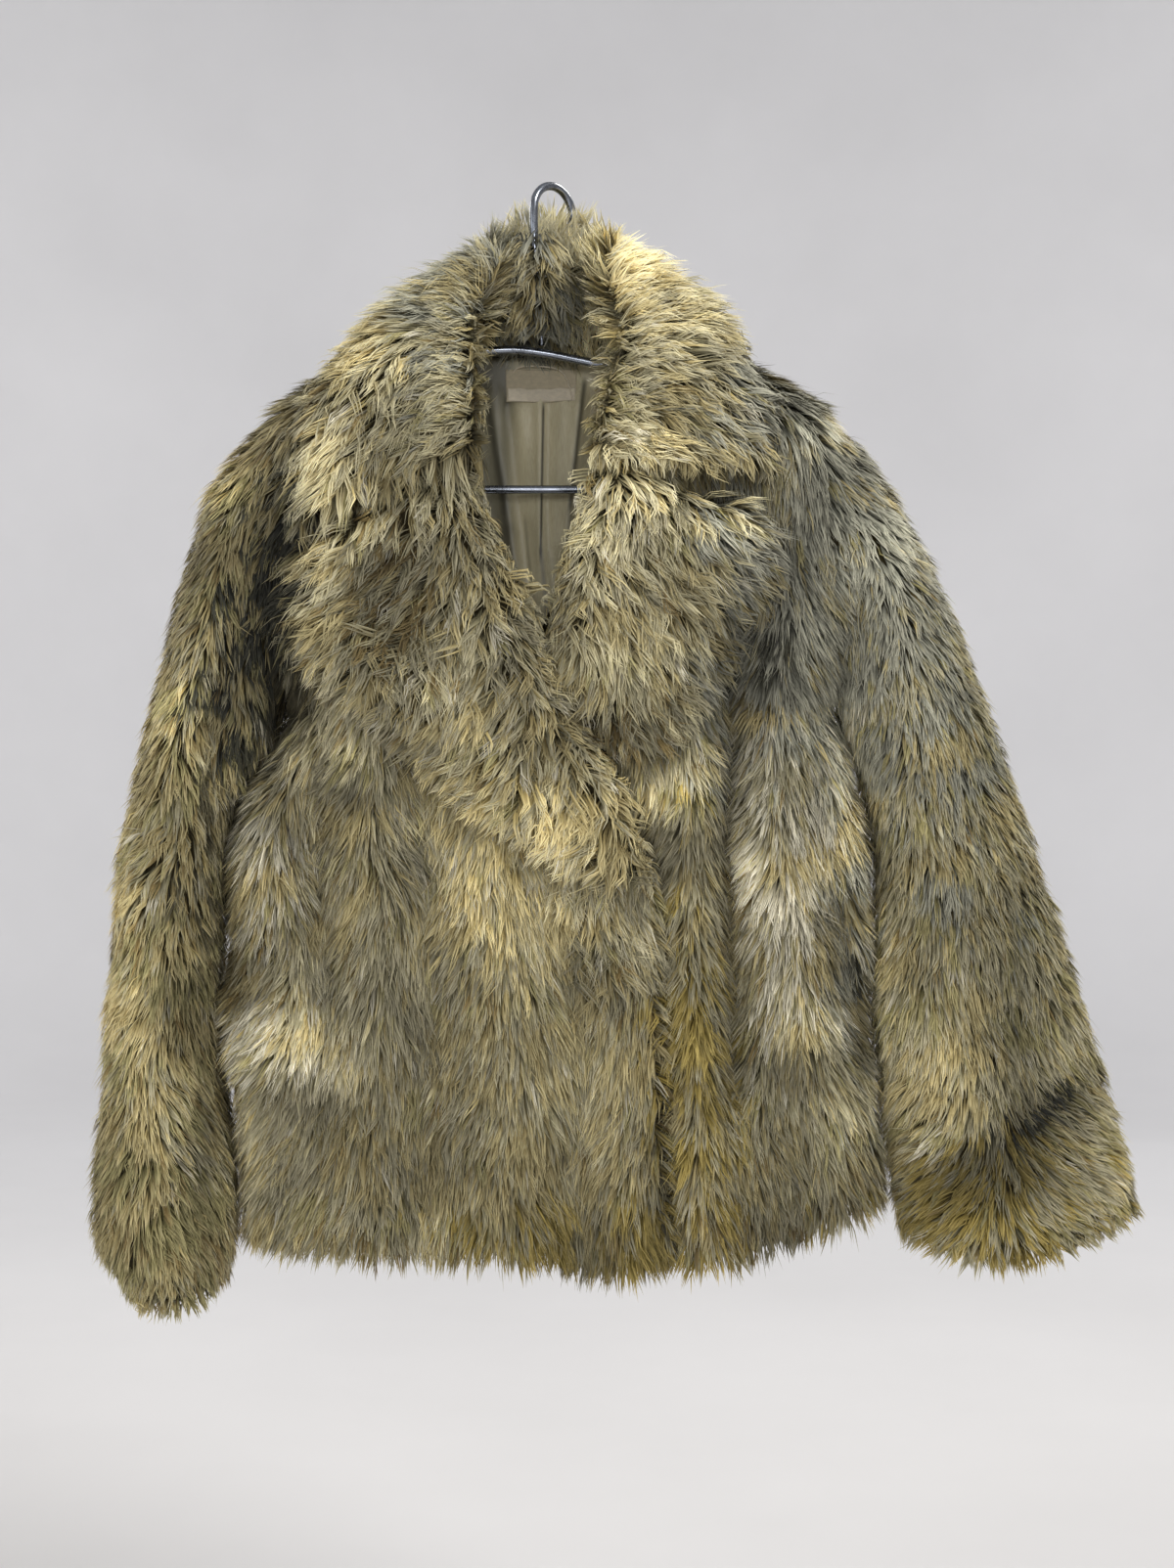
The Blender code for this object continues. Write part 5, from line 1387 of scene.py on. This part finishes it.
def collar_path(st, count):
    """Outer face of the collar at one station: seam, over the roll, to the edge."""
    read = collar_path.read
    seam = np.array([read["seam_" + k](st) for k in "xyz"])
    roll = np.array([read["roll_" + k](st) for k in "xyz"])
    edge = np.array([read["edge_" + k](st) for k in "xyz"])
    over = edge - seam
    over[2] *= 0.35
    over /= np.linalg.norm(over)
    upw = np.cross(np.cross(over, roll - 0.5 * (seam + edge)), over)
    upw /= np.linalg.norm(upw)
    stand, fall = np.linalg.norm(roll - seam), np.linalg.norm(edge - roll)

    def hermite(p, q, m0, m1, t):
        t = t[:, None]
        return ((1 + 2 * t) * (1 - t) ** 2 * p + t * (1 - t) ** 2 * m0
                + t * t * (3 - 2 * t) * q + t * t * (t - 1) * m1)
    n1 = max(2, count // 3)
    t1 = np.linspace(0, 1, n1 + 1)[:-1]
    t2 = np.linspace(0, 1, count - n1 + 1)
    a = hermite(seam, roll, upw * stand * 0.8, over * min(stand, 40) * 0.7, t1)
    b = hermite(roll, edge, over * (fall * 0.75), (edge - roll) * 0.55 - upw * fall * 0.55, t2)
    return np.concatenate([a, b])


collar_path.read = {k: column(COLLAR, "s", k) for k in COLLAR[0][1:]}


def collar_grid(stations, count):
    P, lift, outs = [], [], []
    for i in range(stations + 1):
        st = 12.0 * i / stations
        path = collar_path(st, count)
        lie = float(smoothstep((5.2 - abs(st - 6.0)) / 2.6))
        out = np.array([0.0, -(1 - lie), lie])
        out /= np.linalg.norm(out)
        row = []
        for k in range(len(path)):
            thick = 8.0 if count // 3 < k < len(path) - 1 else 0.0
            best = None
            for dx, dw in ((0, 0), (7, 0), (-7, 0), (0, 7), (0, -7)):
                off = np.array([dx, dw * out[2], dw * -out[1]])
                hit = torso.ray_cast(Vector(path[k] + off + out * 250), Vector(-out))
                if hit[0] is None:
                    continue
                rise = float(np.dot(np.array(hit[0]) - path[k], out))
                best = rise if best is None else max(best, rise)
            row.append(0.0 if best is None else max(0.0, best + 1.8 * LAY_GAP + thick))
        P.append(path)
        outs.append(np.broadcast_to(out, path.shape))
        lift.append(row)
    P, outs, lift = np.array(P), np.array(outs), np.array(lift)
    lift = blur(np.maximum(lift, blur(lift, 2)), 2)
    return P + outs * lift[..., None]


COL_N = 27
col = collar_grid(60, COL_N)
n_col = field_normals(col, np.zeros(3) + 1e-9)
n_col = n_col if n_col[30, COL_N // 3][2] > 0 else -n_col
even = col.copy()
for _ in range(5):
    even[:, 1:-1] = (even[:, :-2] + 2 * even[:, 1:-1] + even[:, 2:]) / 4
n_even = field_normals(even, np.zeros(3) + 1e-9)
n_even = n_even if n_even[30, COL_N // 3][2] > 0 else -n_even
sh_col = thin_shell("cloth_collar", even - 6.2 * n_even, even - 9.4 * n_even, [UNDER, UNDER])
# the pile round the neck stands in towards the shaft
st = np.linspace(0, 12, col.shape[0])[:, None]
jj = np.arange(col.shape[1])[None, :]
ring_in = ((1 - smoothstep((np.abs(st - 6) - 2.7) / 1.5)) * smoothstep((jj / (COL_N / 3) - 0.25) / 0.5)
           * (1 - smoothstep((jj - COL_N / 3 - 1) / 6.0)))
inwards = unit(np.stack([-12 - col[..., 0], -22 - col[..., 1], 0 * col[..., 0]], -1))
far = 19.0 - 6.0 * (1 - smoothstep((np.abs(st - 6) - 0.6) / 1.4))
col = col + (far * ring_in)[..., None] * inwards
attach(sh_col, "root")
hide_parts("collar")
pieces["cloth_collar"] = sh_col

# ------------------------------------------------------- pile on every piece
cover_left = (tree_of(["lapel_left", "collar"]), 60.0)
cover_right = (tree_of(["lapel_right", "collar", "front_left", "lapel_left"]), 60.0)
cover_back = (tree_of(["collar"]), 15.0)
cover_sl = (tree_of(["front_left", "back", "collar", "lapel_left"]), 9.0)
cover_sr = (tree_of(["front_right", "back", "collar", "lapel_right"]), 9.0)


def body_patch(P, N, seen, wraps=False, **more):
    V = nap_field(P, N, DOWN, 0.85)
    flank = N[..., 0] ** 2
    more["lean"] = more["lean"] + 14 * flank
    return patch(P, N, V, wraps=wraps, lay=3.0 + 11 * flank, **more)


hem_len = 20.0


def hem_rim(P, N, **more):
    return rim(P[-1], P[-3], N[-1], np.broadcast_to(DOWN, P[-1].shape), radius=4.5,
               reach=0.9, sag=0.5, length=(hem_len + 6 * np.exp(-((P[-1][:, 0] + 165) / 60) ** 2)
                       - 9 * np.exp(-((P[-1][:, 0] - 60) / 45) ** 2)
                       + 14 * np.exp(-((P[-1][:, 0] - 240) / 16) ** 2)),
               density=1.5, **more)


def closed(a):
    return np.concatenate([a, a[:, :1]], axis=1)


low = np.searchsorted(-f_left[:, 0, 2], 470)
p_fl = [body_patch(f_left, n_fl, True, length=33.0, lean=31.0),
        hem_rim(f_left, n_fl),
        rim(f_left[low:, 0], f_left[low:, 2], n_fl[low:, 0],
            np.broadcast_to(DOWN, f_left[low:, 0].shape), radius=5.0, reach=0.55, sag=0.9,
            length=26.0, density=1.3)]
p_fr = [body_patch(f_right, n_fr, True, length=33.0, lean=31.0), hem_rim(f_right, n_fr)]
p_bk = [body_patch(back, n_bk, False, length=34.0, lean=31.0), hem_rim(back, n_bk)]


def sleeve_patches(P, N, outward, length):
    axis = np.gradient(P.mean(axis=1), axis=0)
    axis = unit(axis)[:, None, :] + 0 * P
    axis[..., 1] = 0
    V = nap_field(P, N, 0.55 * DOWN + 0.45 * axis, 0.65)
    Pc, Nc = closed(P), closed(N)
    base = np.broadcast_to(axis[-1, 0], Pc[-1].shape)
    flank = N[..., 0] ** 2
    seen = 1.30 - 0.75 * smoothstep((N[..., 1] - 0.05) / 0.4)
    ends = smoothstep((np.arange(len(P))[:, None] - len(P) + 5) / 4.0) * np.ones(P.shape[:2])
    trim = 0.40 if outward < 0 else 0.32 * smoothstep((P[..., 0] - 330) / 40)
    length = length * (1 - trim * ends)
    return [patch(P, N, V, wraps=True, length=length, lean=31.0 + 8 * flank, lay=3.0 + 5 * flank, density=seen,
                  pull=0.64),
            rim(Pc[-1], Pc[-3], Nc[-1], base, radius=4.5, reach=0.9, sag=0.5, density=1.5,
                length=hem_len * (1 - (0.5 if outward < 0 else 0.50 * smoothstep((Pc[-1][:, 0] - 340) / 30)))
                * np.ones(len(Pc[-1])))]


p_sl = sleeve_patches(s_left, n_sl, -1, 27.0)
p_sr = sleeve_patches(s_right, n_sr, 1, 27.0)


def lapel_patches(P, N):
    s = np.linspace(0, 1, P.shape[1])[None, :] + np.zeros(P.shape[:2])
    outward = unit(P[:, -1] - P[:, 0])[:, None, :] * np.ones((1, P.shape[1], 1))
    base = 0.80 * DOWN + outward * (0.50 * smoothstep((s - 0.12) / 0.5))[..., None]
    V = nap_field(P, N, base, 0.95, 1.4)
    puff = smoothstep((s - 0.55) / 0.4)
    res = [patch(P, N, V, length=20 + 13 * smoothstep(s / 0.24), lean=43.0 + 8 * puff,
                 lay=8.0 + 4 * puff, density=1.05, pull=0.80)]
    down = np.broadcast_to(DOWN, P[:, 0].shape)
    res.append(rim(P[:, 0], P[:, 2], N[:, 0], down, radius=6.0, arc=(-10, 150), reach=0.12, sag=1.0,
                   length=14.0, density=1.5))
    res.append(rim(P[:, -1], P[:, -3], N[:, -1], down, radius=5.0, reach=0.6, sag=0.75,
                   length=27.0, density=1.4, tone=0.08))
    downr = np.broadcast_to(DOWN, P[0].shape)
    res.append(rim(P[0], P[2], N[0], downr, radius=5.0, arc=(-10, 110), reach=0.35, sag=-0.1,
                   length=15.0, density=0.9))
    res.append(rim(P[-1], P[-3], N[-1], downr, radius=4.0, arc=(-10, 110), reach=0.8, sag=0.7,
                   length=24.0, density=1.2))
    return res


p_ll = lapel_patches(lap_l, n_ll)
p_lr = lapel_patches(lap_r, n_lr)

# collar: the stand (up to the roll) and the fall are one surface.  Round the neck
# the roll is a thick ring of pile that closes over the hanger's shaft.
n1 = COL_N // 3
st = np.linspace(0, 12, col.shape[0])[:, None] + np.zeros(col.shape[:2])
jj = np.arange(col.shape[1])[None, :] + np.zeros(col.shape[:2])
side = np.abs(st - 6)
rise = np.clip(jj / n1, 0, 1)
inner = 1 - smoothstep((side - 2.9) / 1.5)          # neck and back, not the fronts
rear = 1 - smoothstep((side - 0.6) / 1.4)
fall = np.clip((jj - n1) / (COL_N - n1), 0, 1)
on_ring = smoothstep((rise - 0.30) / 0.45)
upper = 1 - smoothstep((side - 3.6) / 1.2)
facing = smoothstep((-n_col[..., 1] - 0.20) / 0.5)
P = col + ((5.0 * np.sin(math.pi * fall) * (1 - upper * (1 - facing)))[..., None] * n_col)
for _ in range(4):
    P[:, 1:-1] = (P[:, :-2] + 2 * P[:, 1:-1] + P[:, 2:]) / 4
N = field_normals(P, np.zeros(3) + 1e-9)
N = N if N[30, n1][2] > 0 else -N
path_dir = unit(np.gradient(P, axis=1))
low = 1 - smoothstep((rise - 0.34) / 0.22)          # the lower stand hangs down
front = smoothstep((side - 3.6) / 1.6)
along_nap = (path_dir * (0.95 - 0.30 * fall - 0.15 * front)[..., None]
             + DOWN * (0.50 * smoothstep(fall / 0.25) + 0.30 * front
                       + 0.7 * upper * smoothstep((fall - 0.45) / 0.4))[..., None])
low_dir = DOWN * inner[..., None] + along_nap * (1 - inner[..., None])
base = low[..., None] * low_dir + (1 - low[..., None]) * along_nap
split = np.clip((P[..., 0] + 12) / 14.0, -1, 1)
base = base + (0.8 * split * on_ring * rear * (1 - smoothstep((fall - 0.04) / 0.22)))[..., None] * np.array([1.0, 0, 0])
V = nap_field(P, N, base, 0.5, 1.8)
facing = smoothstep((-N[..., 1] - 0.20) / 0.5)
puffed = facing * upper + (1 - upper)
behind = smoothstep((N[..., 1] - 0.30) / 0.35) * upper
lean_c = 24 + 16 * puffed + 11 * behind + inner * (1 - smoothstep(fall / 0.30)) * (12 + 18 * on_ring) * facing
lay_c = -6 + 11 * puffed + 9 * behind + inner * (1 - smoothstep(fall / 0.30)) * 12 * on_ring * facing
near_edge = (1 - smoothstep((side - 4.4) / 1.0)) * smoothstep((fall - 0.40) / 0.4) * (1 - behind)
len_c = 30.0 + 6 * puffed + 4 * behind - 12 * near_edge - (1 - inner) * (1 - rise) * 16 + 2.0 * inner * on_ring * (1 - fall)
reach_down = 16 + 0.9 * np.clip(P[..., 2] + 114, 0, 60)
len_c = np.where((side < 3.2) & (low > 0.02), np.minimum(len_c, reach_down), len_c)
top_trim = smoothstep((P[..., 2] + 62) / 26) * (0.42 * np.exp(-((P[..., 0] + 44) / 24) ** 2)
                                                + 0.30 * np.exp(-((P[..., 0] - 36) / 18) ** 2))
len_c = len_c * (1 - top_trim)
lean_c = lean_c * (1 - 0.9 * top_trim)
# the lower stand inside the neck ring is painted a little lighter, painted light against the roll's own shade; the fall
# is slightly lighter too
tone_c = 0.06 * low * inner + 0.03 * smoothstep(fall / 0.4)
p_col = [patch(P, N, V, length=len_c, lean=lean_c, lay=lay_c, density=1 + 0.8 * on_ring * inner * (1 - fall),
               tone=tone_c, depth=10.5 - 4.5 * puffed - 4.5 * behind, pull=0.76)]
down = np.broadcast_to(DOWN, P[:, -1].shape)
lie = (1 - smoothstep((side[:, -1] - 4.4) / 1.0)) * (1 - 0.8 * behind[:, -1])
p_col.append(rim(P[:, -1], P[:, -3], N[:, -1], down, radius=5.0, reach=(0.8 - 0.6 * lie)[:, None],
                 sag=(0.6 + 0.5 * lie)[:, None], length=28.0 - 13 * lie, density=1.2, tone=0.04))
for a, b, lng in ((0, 2, 40.0), (-1, -3, 26.0)):
    p_col.append(rim(P[a], P[b], N[a], np.broadcast_to(DOWN, P[a].shape), radius=5.0,
                     arc=(-10, 100), reach=0.45, sag=0.75, length=lng, density=1.8, lean=34.0))
# the crest of the roll stays full where the pile parts
cr = np.s_[:, n1 - 4:n1 + 5]
p_col.append(patch(P[cr], N[cr], path_dir[cr] * 0.8 + 0.25 * DOWN, length=(24.0 + 3 * facing[cr]) * (1 - top_trim[cr]),
                   lean=(20 + 42 * facing[cr]) * (1 - 0.9 * top_trim[cr]),
                   lay=-6 + 20 * facing[cr], density=1.7 * smoothstep((side[cr] - 1.0) / 0.8) + 1e-6, depth=4.0))
# locks that close over the shaft and part along it, painted darker down the parting as painted shade
zb = np.linspace(-36, -101, 18)[:, None]
ub = np.linspace(-17, 17, 13)[None, :]
wire_z, wire_x, wire_y = (-114.6, -96, -70, -42), (-8.5, -9.5, -11.5, -13.6), (3.5, 0, -7, -13)
Pb = np.stack([np.interp(zb, wire_z, wire_x) + ub, np.interp(zb, wire_z, wire_y) - 7.2 + 0.022 * ub ** 2,
               zb + 0 * ub], -1)
Nb = unit(np.stack([0.30 * ub / 17 + 0 * zb, -1 + 0 * ub + 0 * zb, 0.15 + 0 * ub + 0 * zb], -1))
Vb = np.stack([0.55 * np.tanh(ub / 3) + 0 * zb, 0 * ub + 0 * zb, -1 + 0 * ub + 0 * zb], -1)
p_col.append(patch(Pb, Nb, Vb, length=np.clip(zb + 117 + 0 * ub, 12, 30), lean=30.0, lay=4.0, depth=2.6,
                   density=2.1, tone=0.02 - 0.20 * np.exp(-(ub / 2.6) ** 2) + 0 * zb, pull=0.7))

BASE_BODY = {"gold": 0.9, "khaki": 1.0, "olive": 0.45, "beige": 0.35, "brown": 0.12, "dark": 0.02,
             "yellow": 0.08, "frost": 0.10}
BASE_COLLAR = {"gold": 0.8, "khaki": 0.9, "olive": 0.3, "beige": 0.6, "brown": 0.08, "dark": 0.02,
               "yellow": 0.18, "frost": 0.12}
BASE_SLEEVE_L = {"gold": 1.2, "khaki": 0.4, "olive": 0.9, "beige": 0.2, "brown": 0.3, "dark": 0.04,
                 "yellow": 0.3, "frost": 0.02}
BASE_SLEEVE_R = {"gold": 0.6, "khaki": 1.1, "olive": 0.7, "beige": 0.3, "brown": 0.1, "dark": 0.02,
                 "yellow": 0.08, "frost": 0.12}
# painted shade next to these pieces: the piece, its reach and how much darker the pile is painted
shade_beside_l = [(tree_of(["lapel_left", "collar"]), 15.0, 0.34)]
shade_beside_r = [(tree_of(["lapel_right", "collar"]), 15.0, 0.38), (tree_of(["front_left"]), 6.0, 0.30)]
shade_beside_b = [(tree_of(["collar", "sleeve_left", "sleeve_right"]), 10.0, 0.12)]
shade_beside_sl = [(tree_of(["front_left", "collar", "lapel_left"]), 12.0, 0.22)]
shade_beside_sr = [(tree_of(["collar", "lapel_right"]), 10.0, 0.16)]

SOFT = dict(per=6, radius=3.3, turn=0.10, curl=1.2, noise=0.088)
SLEEVE = dict(per=6, radius=2.8, turn=0.09, curl=1.2, noise=0.022)
CURLY = dict(per=8, radius=4.3, turn=0.20, curl=2.9, segs=3, noise=0.034)
LAPEL = dict(per=8, radius=4.1, turn=0.18, curl=2.6, segs=3, noise=0.092)

PILES = [
    # name, patches, strands, base, cover, seed, tone, folds, near, style
    ("fur_back", p_bk, 29000, BASE_BODY, cover_back, 11, -0.02, FOLDS_BACK, shade_beside_b, SOFT),
    ("fur_front_left", p_fl, 51000, BASE_BODY, cover_left, 12, 0.0, FOLDS_FRONT, shade_beside_l, SOFT),
    ("fur_front_right", p_fr, 41000, BASE_BODY, cover_right, 13, 0.0, FOLDS_FRONT, shade_beside_r, SOFT),
    ("fur_sleeve_left", p_sl, 35500, BASE_SLEEVE_L, cover_sl, 14, 0.10, FOLDS_SLEEVE, shade_beside_sl, SLEEVE),
    ("fur_sleeve_right", p_sr, 44000, BASE_SLEEVE_R, cover_sr, 15, 0.12, FOLDS_SLEEVE, shade_beside_sr, SLEEVE),
    ("fur_collar", p_col, 34000, BASE_COLLAR, None, 16, 0.03, None, None, CURLY),
    ("fur_lapel_left", p_ll, 14000, BASE_COLLAR, None, 17, 0.0, None, None, LAPEL),
    ("fur_lapel_right", p_lr, 9500, BASE_COLLAR, None, 18, 0.0, None, None, LAPEL),
]
for name, patches, strands, basec, cover, seed, ptone, folds, near, style in PILES:
    o = pile(name, patches, strands, mat=FUR, base=basec, cover=cover, seed=seed, piece_tone=ptone,
             folds=folds, near=near, **style)
    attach(o, "root")

# -------------------------------------------------------------------- lining
inside = tree_of(["back"])


def lining_grid(nx, nz):
    xs = np.linspace(-168, 166, nx)
    xs = np.where(np.abs(xs) < 90, xs, xs)
    ts = np.linspace(0, 1, nz) ** 1.25
    P = np.zeros((nz, nx, 3))
    for i, t in enumerate(ts):
        for k, x in enumerate(xs):
            top = -118.5 if abs(x + 2) < 64 else -118.5 - (abs(x + 2) - 64) * 0.75
            z = top + (-735.0 - top) * t
            P[i, k] = (x, face_y(inside, x, z, -1, 8.0, 4.0), z)
    y = np.minimum(P[..., 1], blur(P[..., 1], 3))
    grow = smoothstep((-P[..., 2] - 128) / 26)
    rise = fold_rise(FOLDS_LINING, P[..., 0], P[..., 2])
    soft = 0.5 * Waves(41, 55)(P) + 0.25 * Waves(42, 22)(P)
    P[..., 1] = y - 4.2 - np.maximum(rise * grow, -2.4) - 0.5 * soft
    return P


lin = lining_grid(96, 70)
thick = np.array([0, 0.8, 0])
sh_lin = thin_shell("lining_back_satin", lin, lin + thick, [SATIN, SATIN])
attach(sh_lin, "root")
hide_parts("lining_back")

# --------------------------------------------------------------------- label
box_lo, box_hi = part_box("label")
lab_y = box_lo.y / MM
lx = np.linspace(-36, 17, 54)
lz = np.linspace(-127.5, -152.0, 26)
X, Z = np.meshgrid(lx, lz)
wavy = 0.35 * np.sin(X / 5.2 + 0.8) + 0.25 * np.sin(X / 2.9 + Z / 4.0) + 0.2 * np.sin(Z / 3.1)
lab = np.stack([X + 0.25 * np.sin(Z / 5), lab_y + 0.55 + 0.4 * wavy, Z + 0.35 * np.sin(X / 6.0)], -1)
sh_lab = thin_shell("label_cloth", lab, lab + np.array([0, 0.35, 0]), [TAPE, TAPE])
strip_z = np.linspace(-141.6, -151.4, 12)
X, Z = np.meshgrid(np.linspace(-34.6, 15.8, 60), strip_z)
wavy = 0.35 * np.sin(X / 5.2 + 0.8) + 0.25 * np.sin(X / 2.9 + Z / 4.0) + 0.2 * np.sin(Z / 3.1)
ruck = 0.45 * np.sin(X / 2.3) * np.exp(-((Z + 142.5) / 2.5) ** 2)
strip = np.stack([X, lab_y + 0.0 + 0.4 * wavy - 0.25, Z + ruck + 0.5 * np.sin(X / 9.0)], -1)
sh_strip = thin_shell("label_strip", strip, strip + np.array([0, 0.3, 0]), [TAPE_LIGHT, TAPE_LIGHT])
CORD_AT = lab_y - 0.6
CORD = [(-31, CORD_AT + 0.6, -130), (-27, CORD_AT, -126.5), (-18, CORD_AT - 0.6, -125.2), (-2, CORD_AT - 1.0, -126.4),
        (6, CORD_AT - 1.0, -130), (10.5, CORD_AT - 0.8, -137), (12.5, CORD_AT - 0.6, -144), (14, CORD_AT, -151)]
for o in (sh_lab, sh_strip):
    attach(o, "root")
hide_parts("label")


# ------------------------------------------------------------------ the wire
def tube(name, points, diameter, mat, sides=20, bend=3.0):
    """A round wire along a smooth curve through the points, with round ends."""
    pts = [np.array(p, float) for p in points]
    fine = []
    for i in range(len(pts) - 1):
        p0 = pts[max(i - 1, 0)]
        p1, p2 = pts[i], pts[i + 1]
        p3 = pts[min(i + 2, len(pts) - 1)]
        steps = max(1, int(round(np.linalg.norm(p2 - p1) / bend)))
        for k in range(steps):
            t = k / steps
            fine.append(0.5 * ((2 * p1) + (p2 - p0) * t + (2 * p0 - 5 * p1 + 4 * p2 - p3) * t * t
                               + (3 * p1 - p0 - 3 * p2 + p3) * t ** 3))
    fine.append(pts[-1])
    fine = np.array(fine)
    tang = unit(np.gradient(fine, axis=0))
    ref = np.array([0.0, 1.0, 0.0])
    rings_, radii, centres = [], [], []
    r = diameter / 2
    for a in (0.35, 0.7, 0.92):
        centres.append(fine[0] + tang[0] * r * (1 - math.sqrt(1 - a * a)) * 0.6)
        radii.append(r * a)
    for p in fine[1:-1]:
        centres.append(p)
        radii.append(r)
    for a in (0.92, 0.7, 0.35):
        centres.append(fine[-1] - tang[-1] * r * (1 - math.sqrt(1 - a * a)) * 0.6)
        radii.append(r * a)
    dirs = [tang[0]] * 3 + list(tang[1:-1]) + [tang[-1]] * 3
    verts, faces = [], []
    for p, rad, d in zip(centres, radii, dirs):
        side = np.cross(d, ref)
        side /= np.linalg.norm(side)
        ref = np.cross(side, d)
        for k in range(sides):
            a = 2 * math.pi * k / sides
            verts.append(p + rad * (math.cos(a) * side + math.sin(a) * ref))
    n = len(centres)
    for i in range(n - 1):
        for k in range(sides):
            faces.append((i * sides + k, (i + 1) * sides + k,
                          (i + 1) * sides + (k + 1) % sides, i * sides + (k + 1) % sides))
    faces.append(tuple(range(sides)))
    faces.append(tuple((n - 1) * sides + k for k in range(sides))[::-1])
    if signed_volume(verts, faces) < 0:
        faces = [f[::-1] for f in faces]
    return mesh_from(name, np.array(verts), faces, [mat])


sh_cord = tube("label_loop", CORD, 1.1, TAPE_LIGHT, sides=8, bend=1.5)
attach(sh_cord, "root")
hook_r = 20.0
hook = [(-8.5, 3.5, -114.6), (-9.5, 0, -96), (-11.5, -7, -70), (-13.6, -13, -42)]
for a in (180, 150, 120, 90, 60, 30, 0, -25):
    u, v = hook_r * math.cos(math.radians(a)), hook_r * math.sin(math.radians(a))
    hook.append((u * math.cos(math.radians(45)), u * math.sin(math.radians(45)), WIRE_D / 2 - hook_r + v))
wires = [
    ("wire_hook", "hanger_hook", hook),
    ("wire_shoulders", "hanger_shoulders",
     [(-152, 2, -221), (-160, 2, -221), (-172, 2, -213), (-179, 2, -196), (-178, 2, -178), (-168, 2, -163),
      (-140, 2, -150), (-85, 2, -124.5), (-39, 3, -117.6), (-8, 3.5, -119.6),
      (32, 3, -127.5), (85, 2, -136), (140, 2, -153), (165, 2, -165), (174, 2, -180),
      (174, 2, -198), (167, 2, -213), (155, 2, -221), (147, 2, -221)]),
    ("wire_bar", "hanger_bar", [(-151, 2, -221), (146, 2, -221)]),
]
for name, node, pts in wires:
    o = tube(name, pts, WIRE_LOOK, STEEL, sides=24)
    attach(o, "root")
    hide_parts(node)


# ------------------------------------------------------------------- the room
def room():
    """Pale floor that turns up into a far pale wall, all round."""
    prof = [(0.0, -1.36), (2.5, -1.36), (4.6, -1.36)]
    for k in range(9):
        a = math.radians(90 * k / 8)
        prof.append((5.0 + 1.6 * math.sin(a), -1.36 + 1.6 * (1 - math.cos(a))))
    prof += [(6.6, 2.2), (6.6, 5.2)]
    sides = 72
    verts = [(0, 0, prof[0][1] / MM)]
    faces = []
    for r, z in prof[1:]:
        for k in range(sides):
            a = 2 * math.pi * k / sides
            verts.append((r * math.cos(a) / MM, r * math.sin(a) / MM, z / MM))
    for k in range(sides):
        faces.append((0, 1 + k, 1 + (k + 1) % sides))
    for i in range(len(prof) - 2):
        for k in range(sides):
            a, b = 1 + i * sides, 1 + (i + 1) * sides
            faces.append((a + k, b + k, b + (k + 1) % sides, a + (k + 1) % sides))
    obj = mesh_from("floor", np.array(verts), faces, [plain_material("floor_pale", (222, 221, 222), 1.2, 0.03, 0.9)])


room()


def aim(obj, at):
    d = Vector(at) - obj.location
    obj.rotation_euler = d.to_track_quat("-Z", "Y").to_euler()


def area_light(name, loc, at, size, power, colour):
    data = bpy.data.lights.new(name, "AREA")
    data.shape = "DISK"
    data.size = size
    data.energy = power
    data.color = colour
    obj = bpy.data.objects.new(name, data)
    bpy.context.scene.collection.objects.link(obj)
    obj.location = loc
    aim(obj, at)
    return obj


area_light("key", (1.5, -1.8, 1.8), (0, 0, -0.4), 1.0, 69, (1.0, 0.99, 0.975))
area_light("fill", (-2.4, -1.9, 0.2), (0, 0, -0.4), 1.8, 12, (0.94, 0.97, 1.0))
area_light("front", (0.1, -3.4, 0.0), (0, 0, -0.4), 0.8, 17, (0.97, 0.98, 1.0))
area_light("rim", (1.3, 1.4, 1.5), (0.05, 0, -0.15), 0.9, 24, (1.0, 0.95, 0.84))
area_light("rim_left", (-1.9, 1.3, 0.7), (-0.1, 0, -0.3), 1.0, 14, (1.0, 0.96, 0.88))
area_light("wall_left", (-3.2, 2.0, 1.6), (-1.5, 6.6, -0.3), 2.4, 66, (1.0, 1.0, 1.0))
area_light("wall_right", (3.2, 2.0, 1.6), (1.5, 6.6, -0.3), 2.4, 66, (1.0, 1.0, 1.0))
world = bpy.data.worlds.new("world")
bpy.context.scene.world = world
world.use_nodes = True
bg = world.node_tree.nodes["Background"]
bg.inputs[0].default_value = (0.90, 0.91, 0.93, 1)
bg.inputs[1].default_value = 0.42
bpy.context.scene.view_settings.view_transform = "Standard"

cam_data = bpy.data.cameras.new("camera")
cam = bpy.data.objects.new("camera", cam_data)
bpy.context.scene.collection.objects.link(cam)
cam_data.sensor_fit = "VERTICAL"
cam_data.angle = 2 * math.atan(561 / 1500)
cam.location = (0.0248, -1.55, -0.439)
cam.rotation_euler = (math.radians(90), 0, 0)
cam_data.clip_start = 0.05
bpy.context.scene.camera = cam


def plain(b):
    return [[float(v) for v in corner] for corner in b]
